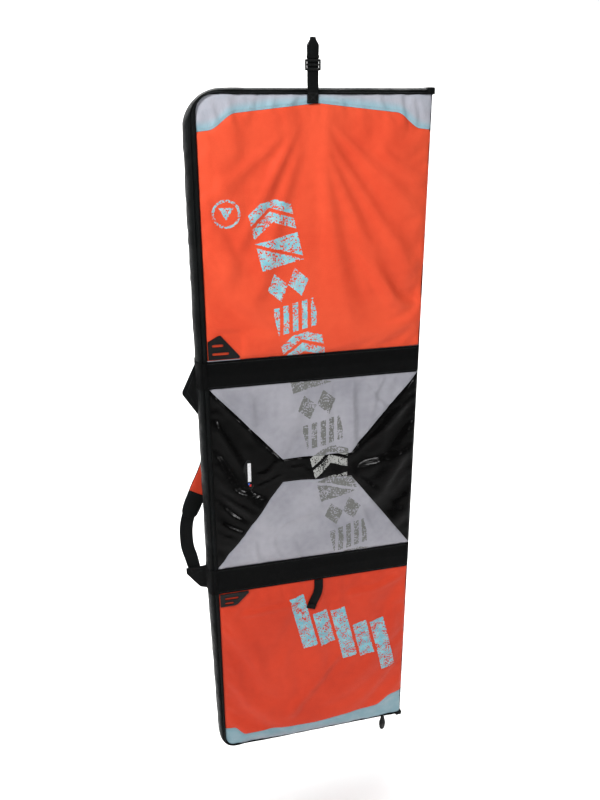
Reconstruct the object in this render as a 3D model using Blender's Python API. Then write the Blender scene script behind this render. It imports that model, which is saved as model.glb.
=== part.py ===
"""Long padded bag that carries a kitesurfing kite and folds in three like a letter.

Metres, +Z up, the front faces -Y and +X is to the right seen from the front. The bag hangs from a
webbing loop, and the origin is at the top of that loop's inside. The shell is split by a zip that
runs along the top, down the left side and along the bottom; the right side is the spine that the
front opens about. Two bands cross the bag, and it folds along the outer edge of each band.
"""

from math import cos, pi, radians, sin

import bmesh
import bpy
from mathutils import Vector

# Driving dimensions
PANEL_WIDTH = 0.530
HEIGHT = 1.750
DEPTH = 0.056
SIDE_BORDER = 0.023  # black binding and gusset outside the front panel's left edge
TOP_BORDER = 0.012
BOTTOM_BORDER = 0.010
LOWER_CORNER_BORDER = 0.014  # the side border narrows to this at the lower corner
UPPER_FOLD = 0.5906  # down from the top edge
LOWER_FOLD = 1.2284
UPPER_BAND = 0.0670
LOWER_BAND = 0.0740
STRAP_RISE = 0.096  # top edge to the inside of the hanging loop

SKIN = 0.0020
FOAM = 0.0040
LINING = 0.0010
GAP = 0.0003
FOLD_GAP = 0.0005  # each section stops this far from its fold line
WEBBING = 0.0250
WEBBING_THICKNESS = 0.0020
BACK_BAND_THICKNESS = 0.0015
WING_THICKNESS = 0.0030  # doubled webbing
WING_DEPTH = 0.0360  # behind the front face
PATCH_THICKNESS = 0.0030
BADGE_THICKNESS = 0.0020

# Places that follow from them
X_RIGHT = (PANEL_WIDTH + SIDE_BORDER) / 2
X_PANEL = X_RIGHT - PANEL_WIDTH
Z_TOP = -STRAP_RISE
Y_FRONT = WEBBING_THICKNESS / 2 + GAP
Y_BACK = Y_FRONT + DEPTH

# Depths below each face at which its layers start
FOAM_START = SKIN + GAP
LINING_START = FOAM_START + FOAM + GAP
LAYERS_END = LINING_START + LINING

# Rounded corners of the panels and of the border round them
INNER_TOP_RADIUS = 0.040
OUTER_TOP_RADIUS = 0.085
INNER_BOTTOM_RADIUS = 0.026
OUTER_BOTTOM_RADIUS = 0.045
CORNER_STEPS = 7

# The gusset's cross-section: (share of the border's width, depth behind the face)
GUSSET_DEPTH = 0.0237
GUSSET = (
    (0.00, 0.0000),
    (0.55, 0.0000),
    (0.88, 0.0060),
    (1.00, 0.0140),
    (1.00, GUSSET_DEPTH),
    (0.86, GUSSET_DEPTH),
    (0.86, 0.0150),
    (0.76, 0.0090),
    (0.50, 0.0040),
    (0.00, 0.0040),
)
ZIP_TAPE = ((0.84, 0.0240), (0.98, 0.0240), (0.98, 0.0277), (0.84, 0.0277))

# The bow-tie of the middle panels: the white trapezoids' short edges
TIE_LEFT = 0.178
TIE_RIGHT = 0.356
TIE_TOP = 0.861
TIE_BOTTOM = 0.924
SEAM = 0.0006

# Hinge lines
UPPER_FOLD_AXIS = 0.010  # in front of the front face
LOWER_FOLD_AXIS = 0.053
HANG_AXIS_Y = -0.0035
HANG_AXIS_Z = Z_TOP + 0.003
TAIL_AXIS = (-0.004, 0.001)  # deep and down, from the front face at the lower fold
CARRY_AXIS = (-0.043, 0.045, 0.900)  # across, deep and down, from the panel's corner

# Places of the small pieces
ANCHOR_END = 0.031  # where the hanging strap's stitching ends
LOCK_LOW = 0.033  # above the top edge
LOCK_HIGH = 0.055
STEM_END = 0.058  # above the top edge, where the strap turns into the loop
TAIL_PLACE = 0.268
SLIDER_PLACE = 0.485
SLIDER_TOP = 0.0005  # below the bottom edge
SLIDER_LOW = 0.0045
EYE = 0.0055  # below the bottom edge, where the pull hangs

COLOURS = {
    "orange_polyester": ((0.86, 0.09, 0.035), 0.75, 0.0),
    "grey_blue_polyester": ((0.45, 0.56, 0.62), 0.60, 0.0),
    "silver_white_fabric": ((0.60, 0.60, 0.64), 0.45, 0.0),
    "black_coated_fabric": ((0.012, 0.012, 0.013), 0.25, 0.0),
    "black_polyester": ((0.014, 0.014, 0.015), 0.80, 0.0),
    "black_webbing": ((0.012, 0.012, 0.013), 0.85, 0.0),
    "foam": ((0.30, 0.31, 0.33), 0.90, 0.0),
    "lining": ((0.20, 0.21, 0.22), 0.70, 0.0),
    "black_rubber": ((0.015, 0.015, 0.016), 0.50, 0.0),
    "zip_nylon": ((0.016, 0.016, 0.017), 0.45, 0.0),
    "black_metal": ((0.03, 0.03, 0.03), 0.35, 0.9),
    "black_plastic": ((0.014, 0.014, 0.015), 0.40, 0.0),
}


def clear_scene():
    for obj in list(bpy.data.objects):
        bpy.data.objects.remove(obj, do_unlink=True)


def material(name):
    found = bpy.data.materials.get(name)
    if found:
        return found
    colour, roughness, metallic = COLOURS[name]
    made = bpy.data.materials.new(name)
    made.use_nodes = True
    shader = made.node_tree.nodes["Principled BSDF"]
    shader.inputs["Base Color"].default_value = (*colour, 1.0)
    shader.inputs["Roughness"].default_value = roughness
    shader.inputs["Metallic"].default_value = metallic
    return made


def across(u):
    """World x of a place u to the right of the front panel's left edge."""
    return X_PANEL + u


def down(v):
    """World z of a place v below the bag's top edge."""
    return Z_TOP - v


def body(name, pivot, parent=None):
    """An empty on a moving body's joint axis, which its pieces are parented to."""
    empty = bpy.data.objects.new(name, None)
    bpy.context.collection.objects.link(empty)
    empty.empty_display_size = 0.02
    offset = parent["pivot"] if parent else (0.0, 0.0, 0.0)
    empty.location = Vector(pivot) - Vector(offset)
    empty["pivot"] = tuple(pivot)
    empty.parent = parent
    return empty


def place(name, bm, slot, holder, smooth_angle=None):
    """Makes the mesh an object under its body's empty, with its material."""
    bmesh.ops.recalc_face_normals(bm, faces=bm.faces)
    bmesh.ops.translate(bm, verts=bm.verts, vec=-Vector(holder["pivot"]))
    mesh = bpy.data.meshes.new(name)
    bm.to_mesh(mesh)
    bm.free()
    if smooth_angle is not None:
        mesh.shade_smooth()
        mesh.set_sharp_from_angle(angle=radians(smooth_angle))
    mesh.materials.append(material(slot))
    obj = bpy.data.objects.new(name, mesh)
    bpy.context.collection.objects.link(obj)
    obj.parent = holder
    return obj


def plate(outline, y_from, y_to):
    """A flat piece: an outline in X and Z, given as (u, v), with its two faces at these depths."""
    bm = bmesh.new()
    rings = []
    for y in (y_from, y_to):
        rings.append([bm.verts.new((across(u), y, down(v))) for u, v in outline])
    bm.faces.new(rings[0])
    bm.faces.new(rings[1])
    for i in range(len(outline)):
        j = (i + 1) % len(outline)
        bm.faces.new((rings[0][i], rings[0][j], rings[1][j], rings[1][i]))
    return bm


def swept(rings, closed=False):
    """A skin through rings of points that all have the same number, capped unless it closes."""
    bm = bmesh.new()
    made = [[bm.verts.new(point) for point in ring] for ring in rings]
    count = len(made[0])
    pairs = list(zip(made, made[1:]))
    if closed:
        pairs.append((made[-1], made[0]))
    else:
        bm.faces.new(made[0])
        bm.faces.new(made[-1])
    for first, second in pairs:
        for i in range(count):
            j = (i + 1) % count
            bm.faces.new((first[i], first[j], second[j], second[i]))
    return bm


def block(low, high):
    """A box between two corners, as a bmesh."""
    bm = bmesh.new()
    bmesh.ops.create_cube(bm, size=1.0)
    size = [b - a for a, b in zip(low, high)]
    middle = [(a + b) / 2 for a, b in zip(low, high)]
    bmesh.ops.scale(bm, verts=bm.verts, vec=size)
    bmesh.ops.translate(bm, verts=bm.verts, vec=middle)
    return bm


def combine(obj, bm, operation):
    """Joins or cuts an object with a hidden helper, by an exact Boolean."""
    helper_mesh = bpy.data.meshes.new(obj.name + "_helper")
    bmesh.ops.translate(bm, verts=bm.verts, vec=-Vector(obj.parent["pivot"]))
    bmesh.ops.recalc_face_normals(bm, faces=bm.faces)
    bm.to_mesh(helper_mesh)
    bm.free()
    helper = bpy.data.objects.new(obj.name + "_helper", helper_mesh)
    bpy.context.collection.objects.link(helper)
    helper.parent = obj.parent
    helper.hide_render = True
    helper.display_type = "WIRE"
    modifier = obj.modifiers.new(operation.title(), "BOOLEAN")
    modifier.operation = operation
    modifier.solver = "EXACT"
    modifier.object = helper


def arc(centre, radius, start, end, steps=CORNER_STEPS):
    """Points round part of a circle in (u, v), with v down and angles in degrees from +u, up."""
    turns = [radians(start + (end - start) * i / steps) for i in range(steps + 1)]
    return [(centre[0] + radius * cos(a), centre[1] - radius * sin(a)) for a in turns]


def smooth_step(low, high, value):
    share = min(max((value - low) / (high - low), 0.0), 1.0)
    return share * share * (3 - 2 * share)


def top_trim_edge(u):
    """How far below the top edge the grey trim ends: shallow under the strap, deep at the sides."""
    side = abs(u - PANEL_WIDTH / 2) / (PANEL_WIDTH / 2)
    return 0.031 + 0.028 * side + 0.028 * smooth_step(0.68, 0.90, side)


def bottom_trim_edge(u):
    """How far below the top edge the lower trim starts. Its left end stays low, round the corner."""
    side = (u - PANEL_WIDTH / 2) / (PANEL_WIDTH / 2)
    if side < 0:
        rise = 0.004 * -side + 0.026 * smooth_step(0.78, 0.90, -side)
    else:
        rise = 0.026 * side + 0.024 * smooth_step(0.68, 0.88, side)
    return HEIGHT - 0.040 - rise


def trim_edge(edge, reverse=False, steps=28):
    places = [GAP + (PANEL_WIDTH - 2 * GAP) * i / steps for i in range(steps + 1)]
    if reverse:
        places.reverse()
    return [(u, edge(u)) for u in places]


def top_corner(radius_change=0.0):
    """The rounded top left of a panel, from the left side up to the top."""
    centre = (INNER_TOP_RADIUS, TOP_BORDER + INNER_TOP_RADIUS)
    return arc(centre, INNER_TOP_RADIUS + radius_change, 180, 90)


def bottom_corner(radius_change=0.0):
    """The rounded bottom left of a panel, from the bottom up to the left side."""
    centre = (INNER_BOTTOM_RADIUS, HEIGHT - BOTTOM_BORDER - INNER_BOTTOM_RADIUS)
    return arc(centre, INNER_BOTTOM_RADIUS + radius_change, 270, 180)


def section_outline(section, inset, right_inset):
    """The outline of a whole panel of one section, inside its border by inset."""
    left = inset
    right = PANEL_WIDTH - right_inset
    if section == "upper":
        low = UPPER_FOLD - FOLD_GAP
        return [*top_corner(-inset), (right, TOP_BORDER + inset), (right, low), (left, low)]
    if section == "middle":
        top = UPPER_FOLD + FOLD_GAP
        low = LOWER_FOLD - FOLD_GAP
        return [(left, top), (right, top), (right, low), (left, low)]
    top = LOWER_FOLD + FOLD_GAP
    low = HEIGHT - BOTTOM_BORDER - inset
    return [(left, top), (right, top), (right, low), *bottom_corner(-inset)]


def border_rail(section):
    """Pairs of places, inner and outer, along the border of one section."""
    if section == "upper":
        inner = top_corner()
        outer = arc((OUTER_TOP_RADIUS - SIDE_BORDER, OUTER_TOP_RADIUS), OUTER_TOP_RADIUS, 180, 90)
        low = UPPER_FOLD - FOLD_GAP
        start = ((0.0, low), (-SIDE_BORDER, low))
        end = ((PANEL_WIDTH, TOP_BORDER), (PANEL_WIDTH, 0.0))
        return [start, *zip(inner, outer), end]
    if section == "middle":
        places = (UPPER_FOLD + FOLD_GAP, LOWER_FOLD - FOLD_GAP)
        return [((0.0, v), (-SIDE_BORDER, v)) for v in places]
    inner = bottom_corner()
    centre = (OUTER_BOTTOM_RADIUS - LOWER_CORNER_BORDER, HEIGHT - OUTER_BOTTOM_RADIUS)
    outer = arc(centre, OUTER_BOTTOM_RADIUS, 270, 180)
    top = LOWER_FOLD + FOLD_GAP
    start = ((PANEL_WIDTH, HEIGHT - BOTTOM_BORDER), (PANEL_WIDTH, HEIGHT))
    end = ((0.0, top), (-SIDE_BORDER, top))
    return [start, *zip(inner, outer), end]


def border(section, profile, from_back=False):
    """A profile carried along a section's border, measured from the front or from the back face."""
    rings = []
    for inner, outer in border_rail(section):
        ring = []
        for share, depth in profile:
            u = inner[0] + share * (outer[0] - inner[0])
            v = inner[1] + share * (outer[1] - inner[1])
            y = Y_BACK - depth if from_back else Y_FRONT + depth
            ring.append((across(u), y, down(v)))
        rings.append(ring)
    return swept(rings)


def front_layer(section, start, thickness, right_inset=GAP):
    outline = section_outline(section, GAP, right_inset)
    return plate(outline, Y_FRONT + start, Y_FRONT + start + thickness)


def back_layer(section, start, thickness, right_inset):
    outline = section_outline(section, GAP, right_inset)
    return plate(outline, Y_BACK - start - thickness, Y_BACK - start)


def back_shell(section, holder):
    """The back of one section, with its half of the gusset and the spine on the right."""
    inner_edge = SKIN + GAP
    place(f"back_skin_{section}", back_layer(section, 0, SKIN, 0), "black_polyester", holder)
    place(f"back_foam_{section}", back_layer(section, FOAM_START, FOAM, inner_edge), "foam", holder)
    lining = back_layer(section, LINING_START, LINING, inner_edge)
    place(f"back_lining_{section}", lining, "lining", holder)
    place(f"back_gusset_{section}", border(section, GUSSET, True), "black_polyester", holder, 40)
    place(f"back_zip_tape_{section}", border(section, ZIP_TAPE, True), "zip_nylon", holder, 40)
    tops = {
        "upper": (TOP_BORDER + GAP, UPPER_FOLD - FOLD_GAP),
        "middle": (UPPER_FOLD + FOLD_GAP, LOWER_FOLD - FOLD_GAP),
        "lower": (LOWER_FOLD + FOLD_GAP, HEIGHT - BOTTOM_BORDER - GAP),
    }
    top, low = tops[section]
    corner_low = (X_RIGHT - SKIN, Y_FRONT + LAYERS_END + GAP, down(low))
    corner_high = (X_RIGHT, Y_BACK - FOAM_START, down(top))
    place(f"spine_{section}", block(corner_low, corner_high), "black_polyester", holder)


def front_shell(section, holder):
    """The foam, lining, gusset and zip tape behind one section's front panels."""
    place(f"front_foam_{section}", front_layer(section, FOAM_START, FOAM), "foam", holder)
    place(f"front_lining_{section}", front_layer(section, LINING_START, LINING), "lining", holder)
    place(f"front_gusset_{section}", border(section, GUSSET), "black_polyester", holder, 40)
    place(f"front_zip_tape_{section}", border(section, ZIP_TAPE), "zip_nylon", holder, 40)


def skin_plate(outline):
    return plate(outline, Y_FRONT, Y_FRONT + SKIN)


def upper_panels(holder):
    right = PANEL_WIDTH - GAP
    low = UPPER_FOLD - FOLD_GAP
    edge = trim_edge(lambda u: top_trim_edge(u) + SEAM)
    place("front_panel_upper", skin_plate([*edge, (right, low), (GAP, low)]), "orange_polyester", holder)
    trim = [*top_corner(-GAP), (right, TOP_BORDER + GAP), *trim_edge(top_trim_edge, reverse=True)]
    place("top_trim", skin_plate(trim), "grey_blue_polyester", holder)


def middle_panels(holder):
    """Two white trapezoids with a black bow-tie between them, and a band above and below."""
    left = GAP
    right = PANEL_WIDTH - GAP
    band_top = UPPER_FOLD + UPPER_BAND
    band_low = LOWER_FOLD - LOWER_BAND
    white_top = band_top + SEAM
    white_low = band_low - SEAM
    slant = 2 * SEAM
    upper = [
        (left + slant, white_top),
        (right - slant, white_top),
        (TIE_RIGHT, TIE_TOP - SEAM),
        (TIE_LEFT, TIE_TOP - SEAM),
    ]
    lower = [
        (TIE_LEFT, TIE_BOTTOM + SEAM),
        (TIE_RIGHT, TIE_BOTTOM + SEAM),
        (right - slant, white_low),
        (left + slant, white_low),
    ]
    tie = [
        (left, white_top + SEAM),
        (TIE_LEFT - SEAM, TIE_TOP),
        (TIE_RIGHT + SEAM, TIE_TOP),
        (right, white_top + SEAM),
        (right, white_low - SEAM),
        (TIE_RIGHT + SEAM, TIE_BOTTOM),
        (TIE_LEFT - SEAM, TIE_BOTTOM),
        (left, white_low - SEAM),
    ]
    place("white_panel_upper", skin_plate(upper), "silver_white_fabric", holder)
    place("white_panel_lower", skin_plate(lower), "silver_white_fabric", holder)
    place("black_panel", skin_plate(tie), "black_coated_fabric", holder)
    for name, top, low in (
        ("front_band_upper", UPPER_FOLD + FOLD_GAP, band_top),
        ("front_band_lower", band_low, LOWER_FOLD - FOLD_GAP),
    ):
        outline = [(left, top), (right, top), (right, low), (left, low)]
        place(name, skin_plate(outline), "black_webbing", holder)


def lower_panels(holder):
    right = PANEL_WIDTH - GAP
    top = LOWER_FOLD + FOLD_GAP
    edge = trim_edge(lambda u: bottom_trim_edge(u) - SEAM, reverse=True)
    place("front_panel_lower", skin_plate([(GAP, top), (right, top), *edge]), "orange_polyester", holder)
    low = HEIGHT - BOTTOM_BORDER - GAP
    trim = [*trim_edge(bottom_trim_edge), (right, low), *bottom_corner(-GAP)]
    place("bottom_trim", skin_plate(trim), "grey_blue_polyester", holder)


def back_bands(holder):
    """The bands' back halves, webbing sewn over the back skin."""
    y_from = Y_BACK + GAP
    for name, top, low in (
        ("back_band_upper", UPPER_FOLD + FOLD_GAP, UPPER_FOLD + UPPER_BAND),
        ("back_band_lower", LOWER_FOLD - LOWER_BAND, LOWER_FOLD - FOLD_GAP),
    ):
        outline = [(GAP, top), (PANEL_WIDTH, top), (PANEL_WIDTH, low), (GAP, low)]
        place(name, plate(outline, y_from, y_from + BACK_BAND_THICKNESS), "black_webbing", holder)


def wings(holder):
    """Doubled webbing triangles on the side, which the carrying strap is sewn to."""
    root = -SIDE_BORDER - GAP
    y_from = Y_FRONT + WING_DEPTH
    y_to = y_from + WING_THICKNESS
    upper = [(root, 0.600), (root, 0.735), (-0.058, 0.679), (-0.058, 0.671)]
    lower = [(root, 1.160), (root, 1.227), (-0.042, 1.222), (-0.076, 1.177), (-0.076, 1.160)]
    place("wing_upper", plate(upper, y_from, y_to), "black_webbing", holder)
    place("wing_lower", plate(lower, y_from, y_to), "black_webbing", holder)


def lash_patch(name, outline, slots, holder):
    """A moulded rubber patch with two lashing slots."""
    y_to = Y_FRONT - GAP
    y_from = y_to - PATCH_THICKNESS
    obj = place(name, plate(outline, y_from, y_to), "black_rubber", holder)
    reach = 0.002
    cutter = bmesh.new()
    for u_from, u_to, v, half in slots:
        rounded = [
            *arc((u_from + half, v), half, 90, 270, 4),
            *arc((u_to - half, v), half, 270, 450, 4),
        ]
        slot = plate(rounded, y_from - reach, y_to + reach)
        part = bpy.data.meshes.new("slot")
        slot.to_mesh(part)
        slot.free()
        cutter.from_mesh(part)
        bpy.data.meshes.remove(part)
    combine(obj, cutter, "DIFFERENCE")


def lash_patches(upper_holder, lower_holder):
    slot_half = 0.0032
    upper = [(0.004, 0.586), (0.004, 0.543), (0.028, 0.530), (0.034, 0.529), (0.078, 0.582), (0.076, 0.586)]
    upper_slots = [(0.013, 0.040, 0.553, slot_half), (0.013, 0.053, 0.573, slot_half)]
    lash_patch("lash_patch_upper", upper, upper_slots, upper_holder)
    lower = [(0.004, 1.231), (0.080, 1.231), (0.081, 1.235), (0.050, 1.266), (0.044, 1.269), (0.004, 1.269)]
    lower_slots = [(0.016, 0.053, 1.246, slot_half), (0.016, 0.040, 1.260, slot_half)]
    lash_patch("lash_patch_lower", lower, lower_slots, lower_holder)


def oval_badge(holder):
    """A small moulded oval sewn on the black panel's left end."""
    centre = (0.092, 0.894)
    half_width = 0.017
    half_height = 0.041
    steps = 24
    turns = [2 * pi * i / steps for i in range(steps)]
    oval = [(centre[0] + half_width * cos(a), centre[1] - half_height * sin(a)) for a in turns]
    badge = plate(oval, Y_FRONT - GAP - BADGE_THICKNESS, Y_FRONT - GAP)
    place("oval_badge", badge, "black_rubber", holder)


def hanging_strap(anchor_holder, strap_holder, lock_holder):
    half = WEBBING / 2
    thin = WEBBING_THICKNESS / 2
    apart = 0.001  # from the hinge line to each side's webbing
    anchor_low = (-half, -thin, down(ANCHOR_END))
    anchor_high = (half, thin, HANG_AXIS_Z - apart)
    place("strap_anchor", block(anchor_low, anchor_high), "black_webbing", anchor_holder)

    loop_outer = 0.0020
    loop_low = Z_TOP + STEM_END
    loop_half_height = (loop_outer - loop_low) / 2
    loop_middle = (loop_outer + loop_low) / 2
    loop_half_depth = 0.0068
    layer = 0.0018
    broad = 0.0140
    tip = 0.0060
    taper = 0.0140
    steps = 20
    rings = []
    for i in range(steps):
        turn = 2 * pi * i / steps
        y = loop_half_depth * sin(turn)
        z = loop_middle + loop_half_height * cos(turn)
        inner_y = (loop_half_depth - layer) * sin(turn)
        inner_z = loop_middle + (loop_half_height - layer) * cos(turn)
        wide = tip + (broad - tip) * min(max((loop_outer - z) / taper, 0.0), 1.0)
        rings.append([(-wide, y, z), (wide, y, z), (wide, inner_y, inner_z), (-wide, inner_y, inner_z)])
    strap = place("hang_strap", swept(rings, closed=True), "black_webbing", strap_holder, 40)
    overlap = 0.001
    stem = block((-half, -thin, HANG_AXIS_Z + apart), (half, thin, loop_low + overlap))
    combine(strap, stem, "UNION")

    lock_low = Z_TOP + LOCK_LOW
    lock_high = Z_TOP + LOCK_HIGH
    outer = block((-0.017, -0.004, lock_low), (0.017, 0.004, lock_high))
    lock = place("ladder_lock", outer, "black_plastic", lock_holder)
    reach = 0.002
    window = block((-0.0133, -0.0017, lock_low - reach), (0.0133, 0.0017, lock_high + reach))
    combine(lock, window, "DIFFERENCE")


def hanging_tail(holder):
    """The free end of webbing sewn under the lower band, which the closed bag is tied with."""
    half = WEBBING / 2
    clear = 0.0005
    y_to = Y_FRONT - GAP - clear
    y_from = y_to - WEBBING_THICKNESS
    outline = [
        (TAIL_PLACE - half, LOWER_FOLD + 0.003),
        (TAIL_PLACE + half, LOWER_FOLD + 0.003),
        (TAIL_PLACE + half, LOWER_FOLD + 0.078),
        (TAIL_PLACE, LOWER_FOLD + 0.090),
        (TAIL_PLACE - half, LOWER_FOLD + 0.086),
    ]
    place("strap_tail", plate(outline, y_from, y_to), "black_webbing", holder)


def zip_slider_and_pull(slider_holder, pull_holder, middle_y):
    x = across(SLIDER_PLACE)
    half_length = 0.0080
    half_depth = 0.0045
    slider_low = (x - half_length, middle_y - half_depth, down(HEIGHT) - SLIDER_LOW)
    slider_high = (x + half_length, middle_y + half_depth, down(HEIGHT) - SLIDER_TOP)
    place("zip_slider", block(slider_low, slider_high), "black_metal", slider_holder)

    # A cord loop with a moulded grip: radius at each distance below the eye
    eye = down(HEIGHT) - EYE
    steps = 10
    rings = []
    for drop, radius in (
        (0.000, 0.0016),
        (0.022, 0.0016),
        (0.024, 0.0036),
        (0.030, 0.0046),
        (0.056, 0.0040),
        (0.060, 0.0022),
    ):
        turns = [2 * pi * i / steps for i in range(steps)]
        rings.append([(x + radius * cos(a), middle_y + radius * sin(a), eye - drop) for a in turns])
    place("zip_pull", swept(rings), "black_plastic", pull_holder, 40)


def through(points, steps):
    """A smooth curve through rows of numbers, by Catmull-Rom, with steps between rows."""
    ends = [points[0], *points, points[-1]]
    found = []
    for a, b, c, d in zip(ends, ends[1:], ends[2:], ends[3:]):
        for i in range(steps):
            t = i / steps
            row = []
            for p, q, r, s in zip(a, b, c, d):
                bend = 2 * p - 5 * q + 4 * r - s
                twist = 3 * q - p - 3 * r + s
                row.append(0.5 * (2 * q + (r - p) * t + bend * t * t + twist * t**3))
            found.append(tuple(row))
    found.append(tuple(points[-1]))
    return found


# The carrying strap's middle line: across, deep, down, and its width there
STRAP_ROUTE = (
    (-0.036, 0.050, 0.650, 0.012),
    (-0.028, 0.062, 0.695, 0.022),
    (-0.010, 0.080, 0.745, 0.034),
    (0.008, 0.092, 0.800, 0.034),
    (0.010, 0.096, 0.855, 0.034),
    (-0.004, 0.092, 0.910, 0.034),
    (-0.033, 0.078, 0.965, 0.034),
    (-0.064, 0.056, 1.030, 0.034),
    (-0.069, 0.046, 1.090, 0.034),
    (-0.058, 0.041, 1.132, 0.030),
    (-0.052, 0.040, 1.155, 0.012),
)


def ribbon(route, half_thickness, offset=0.0, width=None):
    """A flat band along a route, offset towards the bag; width overrides the route's own."""
    rings = []
    last = len(route) - 1
    centres = [Vector((across(u), Y_FRONT + deep, down(v))) for u, deep, v, _ in route]
    for i, centre in enumerate(centres):
        along = (centres[min(i + 1, last)] - centres[max(i - 1, 0)]).normalized()
        sideways = Vector((1, 0, 0))
        sideways = (sideways - along * sideways.dot(along)).normalized()
        face = along.cross(sideways)
        if face.y > 0:
            face = -face
        half = (width or route[i][3]) / 2
        middle = centre + face * offset
        across_band = sideways * half
        through_band = face * half_thickness
        rings.append(
            [
                middle - across_band - through_band,
                middle + across_band - through_band,
                middle + across_band + through_band,
                middle - across_band + through_band,
            ]
        )
    return swept(rings)


def carrying_strap(holder):
    between = 3
    half_webbing = 0.0012
    half_pad = 0.0045
    place("carry_strap", ribbon(through(STRAP_ROUTE, between), half_webbing), "black_webbing", holder, 40)
    padded = through(STRAP_ROUTE[2:7], between)
    offset = half_webbing + GAP + half_pad
    pad = ribbon(padded, half_pad, offset, width=0.040)
    place("shoulder_pad", pad, "orange_polyester", holder, 40)


def main():
    clear_scene()
    spine = (X_RIGHT, Y_FRONT, 0.0)
    upper_fold = (0.0, Y_FRONT - UPPER_FOLD_AXIS, down(UPPER_FOLD))
    lower_fold = (0.0, Y_FRONT - LOWER_FOLD_AXIS, down(LOWER_FOLD))
    top_section = body("top_section", (0.0, 0.0, 0.0))
    mid_section = body("mid_section", upper_fold, top_section)
    bottom_section = body("bottom_section", lower_fold, mid_section)
    lid_top = body("lid_top", (*spine[:2], down(UPPER_FOLD / 2)), top_section)
    lid_mid = body("lid_mid", (*spine[:2], down((UPPER_FOLD + LOWER_FOLD) / 2)), mid_section)
    lid_bottom = body("lid_bottom", (*spine[:2], down((LOWER_FOLD + HEIGHT) / 2)), bottom_section)

    for section, holder in (("upper", top_section), ("middle", mid_section), ("lower", bottom_section)):
        back_shell(section, holder)
    for section, holder in (("upper", lid_top), ("middle", lid_mid), ("lower", lid_bottom)):
        front_shell(section, holder)
    upper_panels(lid_top)
    middle_panels(lid_mid)
    lower_panels(lid_bottom)
    back_bands(mid_section)
    wings(mid_section)
    lash_patches(lid_top, lid_bottom)
    oval_badge(lid_mid)

    strap = body("hanging_strap_body", (0.0, HANG_AXIS_Y, HANG_AXIS_Z), lid_top)
    lock = body("ladder_lock_body", (0.0, 0.0, Z_TOP + (LOCK_LOW + LOCK_HIGH) / 2), strap)
    hanging_strap(lid_top, strap, lock)
    tail_axis = (across(TAIL_PLACE), Y_FRONT + TAIL_AXIS[0], down(LOWER_FOLD + TAIL_AXIS[1]))
    hanging_tail(body("strap_tail_body", tail_axis, lid_bottom))

    zip_middle = (Y_FRONT + Y_BACK) / 2
    slider_z = down(HEIGHT + (SLIDER_TOP + SLIDER_LOW) / 2)
    slider = body("zip_slider_body", (across(SLIDER_PLACE), zip_middle, slider_z), bottom_section)
    pull = body("zip_pull_body", (across(SLIDER_PLACE), zip_middle, down(HEIGHT + EYE)), slider)
    zip_slider_and_pull(slider, pull, zip_middle)

    axis_place = (across(CARRY_AXIS[0]), Y_FRONT + CARRY_AXIS[1], down(CARRY_AXIS[2]))
    carrying_strap(body("carrying_strap_body", axis_place, mid_section))


main()
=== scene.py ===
"""The look of the folding kite bag: padded cloth, webbing, zip, strap and fittings.

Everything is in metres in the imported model's frame. A place on the bag's face is (u, v): u to the
right of the front panel's left edge and v below the bag's top edge. Soft cloth gets its folds
from a cloth simulation, which every panel of the same face samples, so seams meet.
"""

import math

import bmesh
import bpy
import numpy as np
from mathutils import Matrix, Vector


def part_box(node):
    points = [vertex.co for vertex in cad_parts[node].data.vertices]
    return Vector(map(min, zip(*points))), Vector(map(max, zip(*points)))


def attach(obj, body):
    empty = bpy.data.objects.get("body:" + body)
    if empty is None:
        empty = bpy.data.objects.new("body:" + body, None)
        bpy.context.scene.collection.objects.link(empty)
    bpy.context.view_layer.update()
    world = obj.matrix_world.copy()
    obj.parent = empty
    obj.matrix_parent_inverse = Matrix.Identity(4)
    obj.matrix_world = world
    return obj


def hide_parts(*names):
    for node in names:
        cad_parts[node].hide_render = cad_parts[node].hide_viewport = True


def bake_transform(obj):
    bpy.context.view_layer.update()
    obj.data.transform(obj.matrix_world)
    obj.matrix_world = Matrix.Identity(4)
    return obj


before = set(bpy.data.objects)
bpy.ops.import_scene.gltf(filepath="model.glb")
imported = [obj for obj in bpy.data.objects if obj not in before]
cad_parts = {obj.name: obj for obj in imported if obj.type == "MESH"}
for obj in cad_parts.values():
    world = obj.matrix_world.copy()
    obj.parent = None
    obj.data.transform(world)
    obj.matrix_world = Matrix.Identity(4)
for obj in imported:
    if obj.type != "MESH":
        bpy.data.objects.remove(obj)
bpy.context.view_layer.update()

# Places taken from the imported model
gusset_low, gusset_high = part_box("front_gusset_middle")
skin_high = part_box("back_skin_middle")[1]
X_OUT, X_LEFT, X_RIGHT = gusset_low.x, gusset_high.x, skin_high.x
Y_FRONT, Y_BACK = gusset_low.y, skin_high.y
Z_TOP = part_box("front_gusset_upper")[1].z


def drop(node, corner):
    """How far below the bag's top a node's lowest (0) or highest (1) point is."""
    return Z_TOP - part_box(node)[corner].z


SEAM = 0.0005  # half of the gap at a fold
WIDTH = X_RIGHT - X_LEFT
HEIGHT = drop("front_gusset_lower", 0)
SIDE = X_LEFT - X_OUT
CENTRE = WIDTH / 2
Y_ZIP = (Y_FRONT + Y_BACK) / 2
UPPER_FOLD = drop("front_band_upper", 1) - SEAM
LOWER_FOLD = drop("front_band_lower", 0) + SEAM
BAND_TOP = drop("front_band_upper", 0)
BAND_LOW = drop("front_band_lower", 1)
TOP_BORDER = drop("top_trim", 1)
BOTTOM_BORDER = HEIGHT - drop("bottom_trim", 0)
TIE_TOP = drop("white_panel_upper", 0)
TIE_BOTTOM = drop("white_panel_lower", 1)

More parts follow.
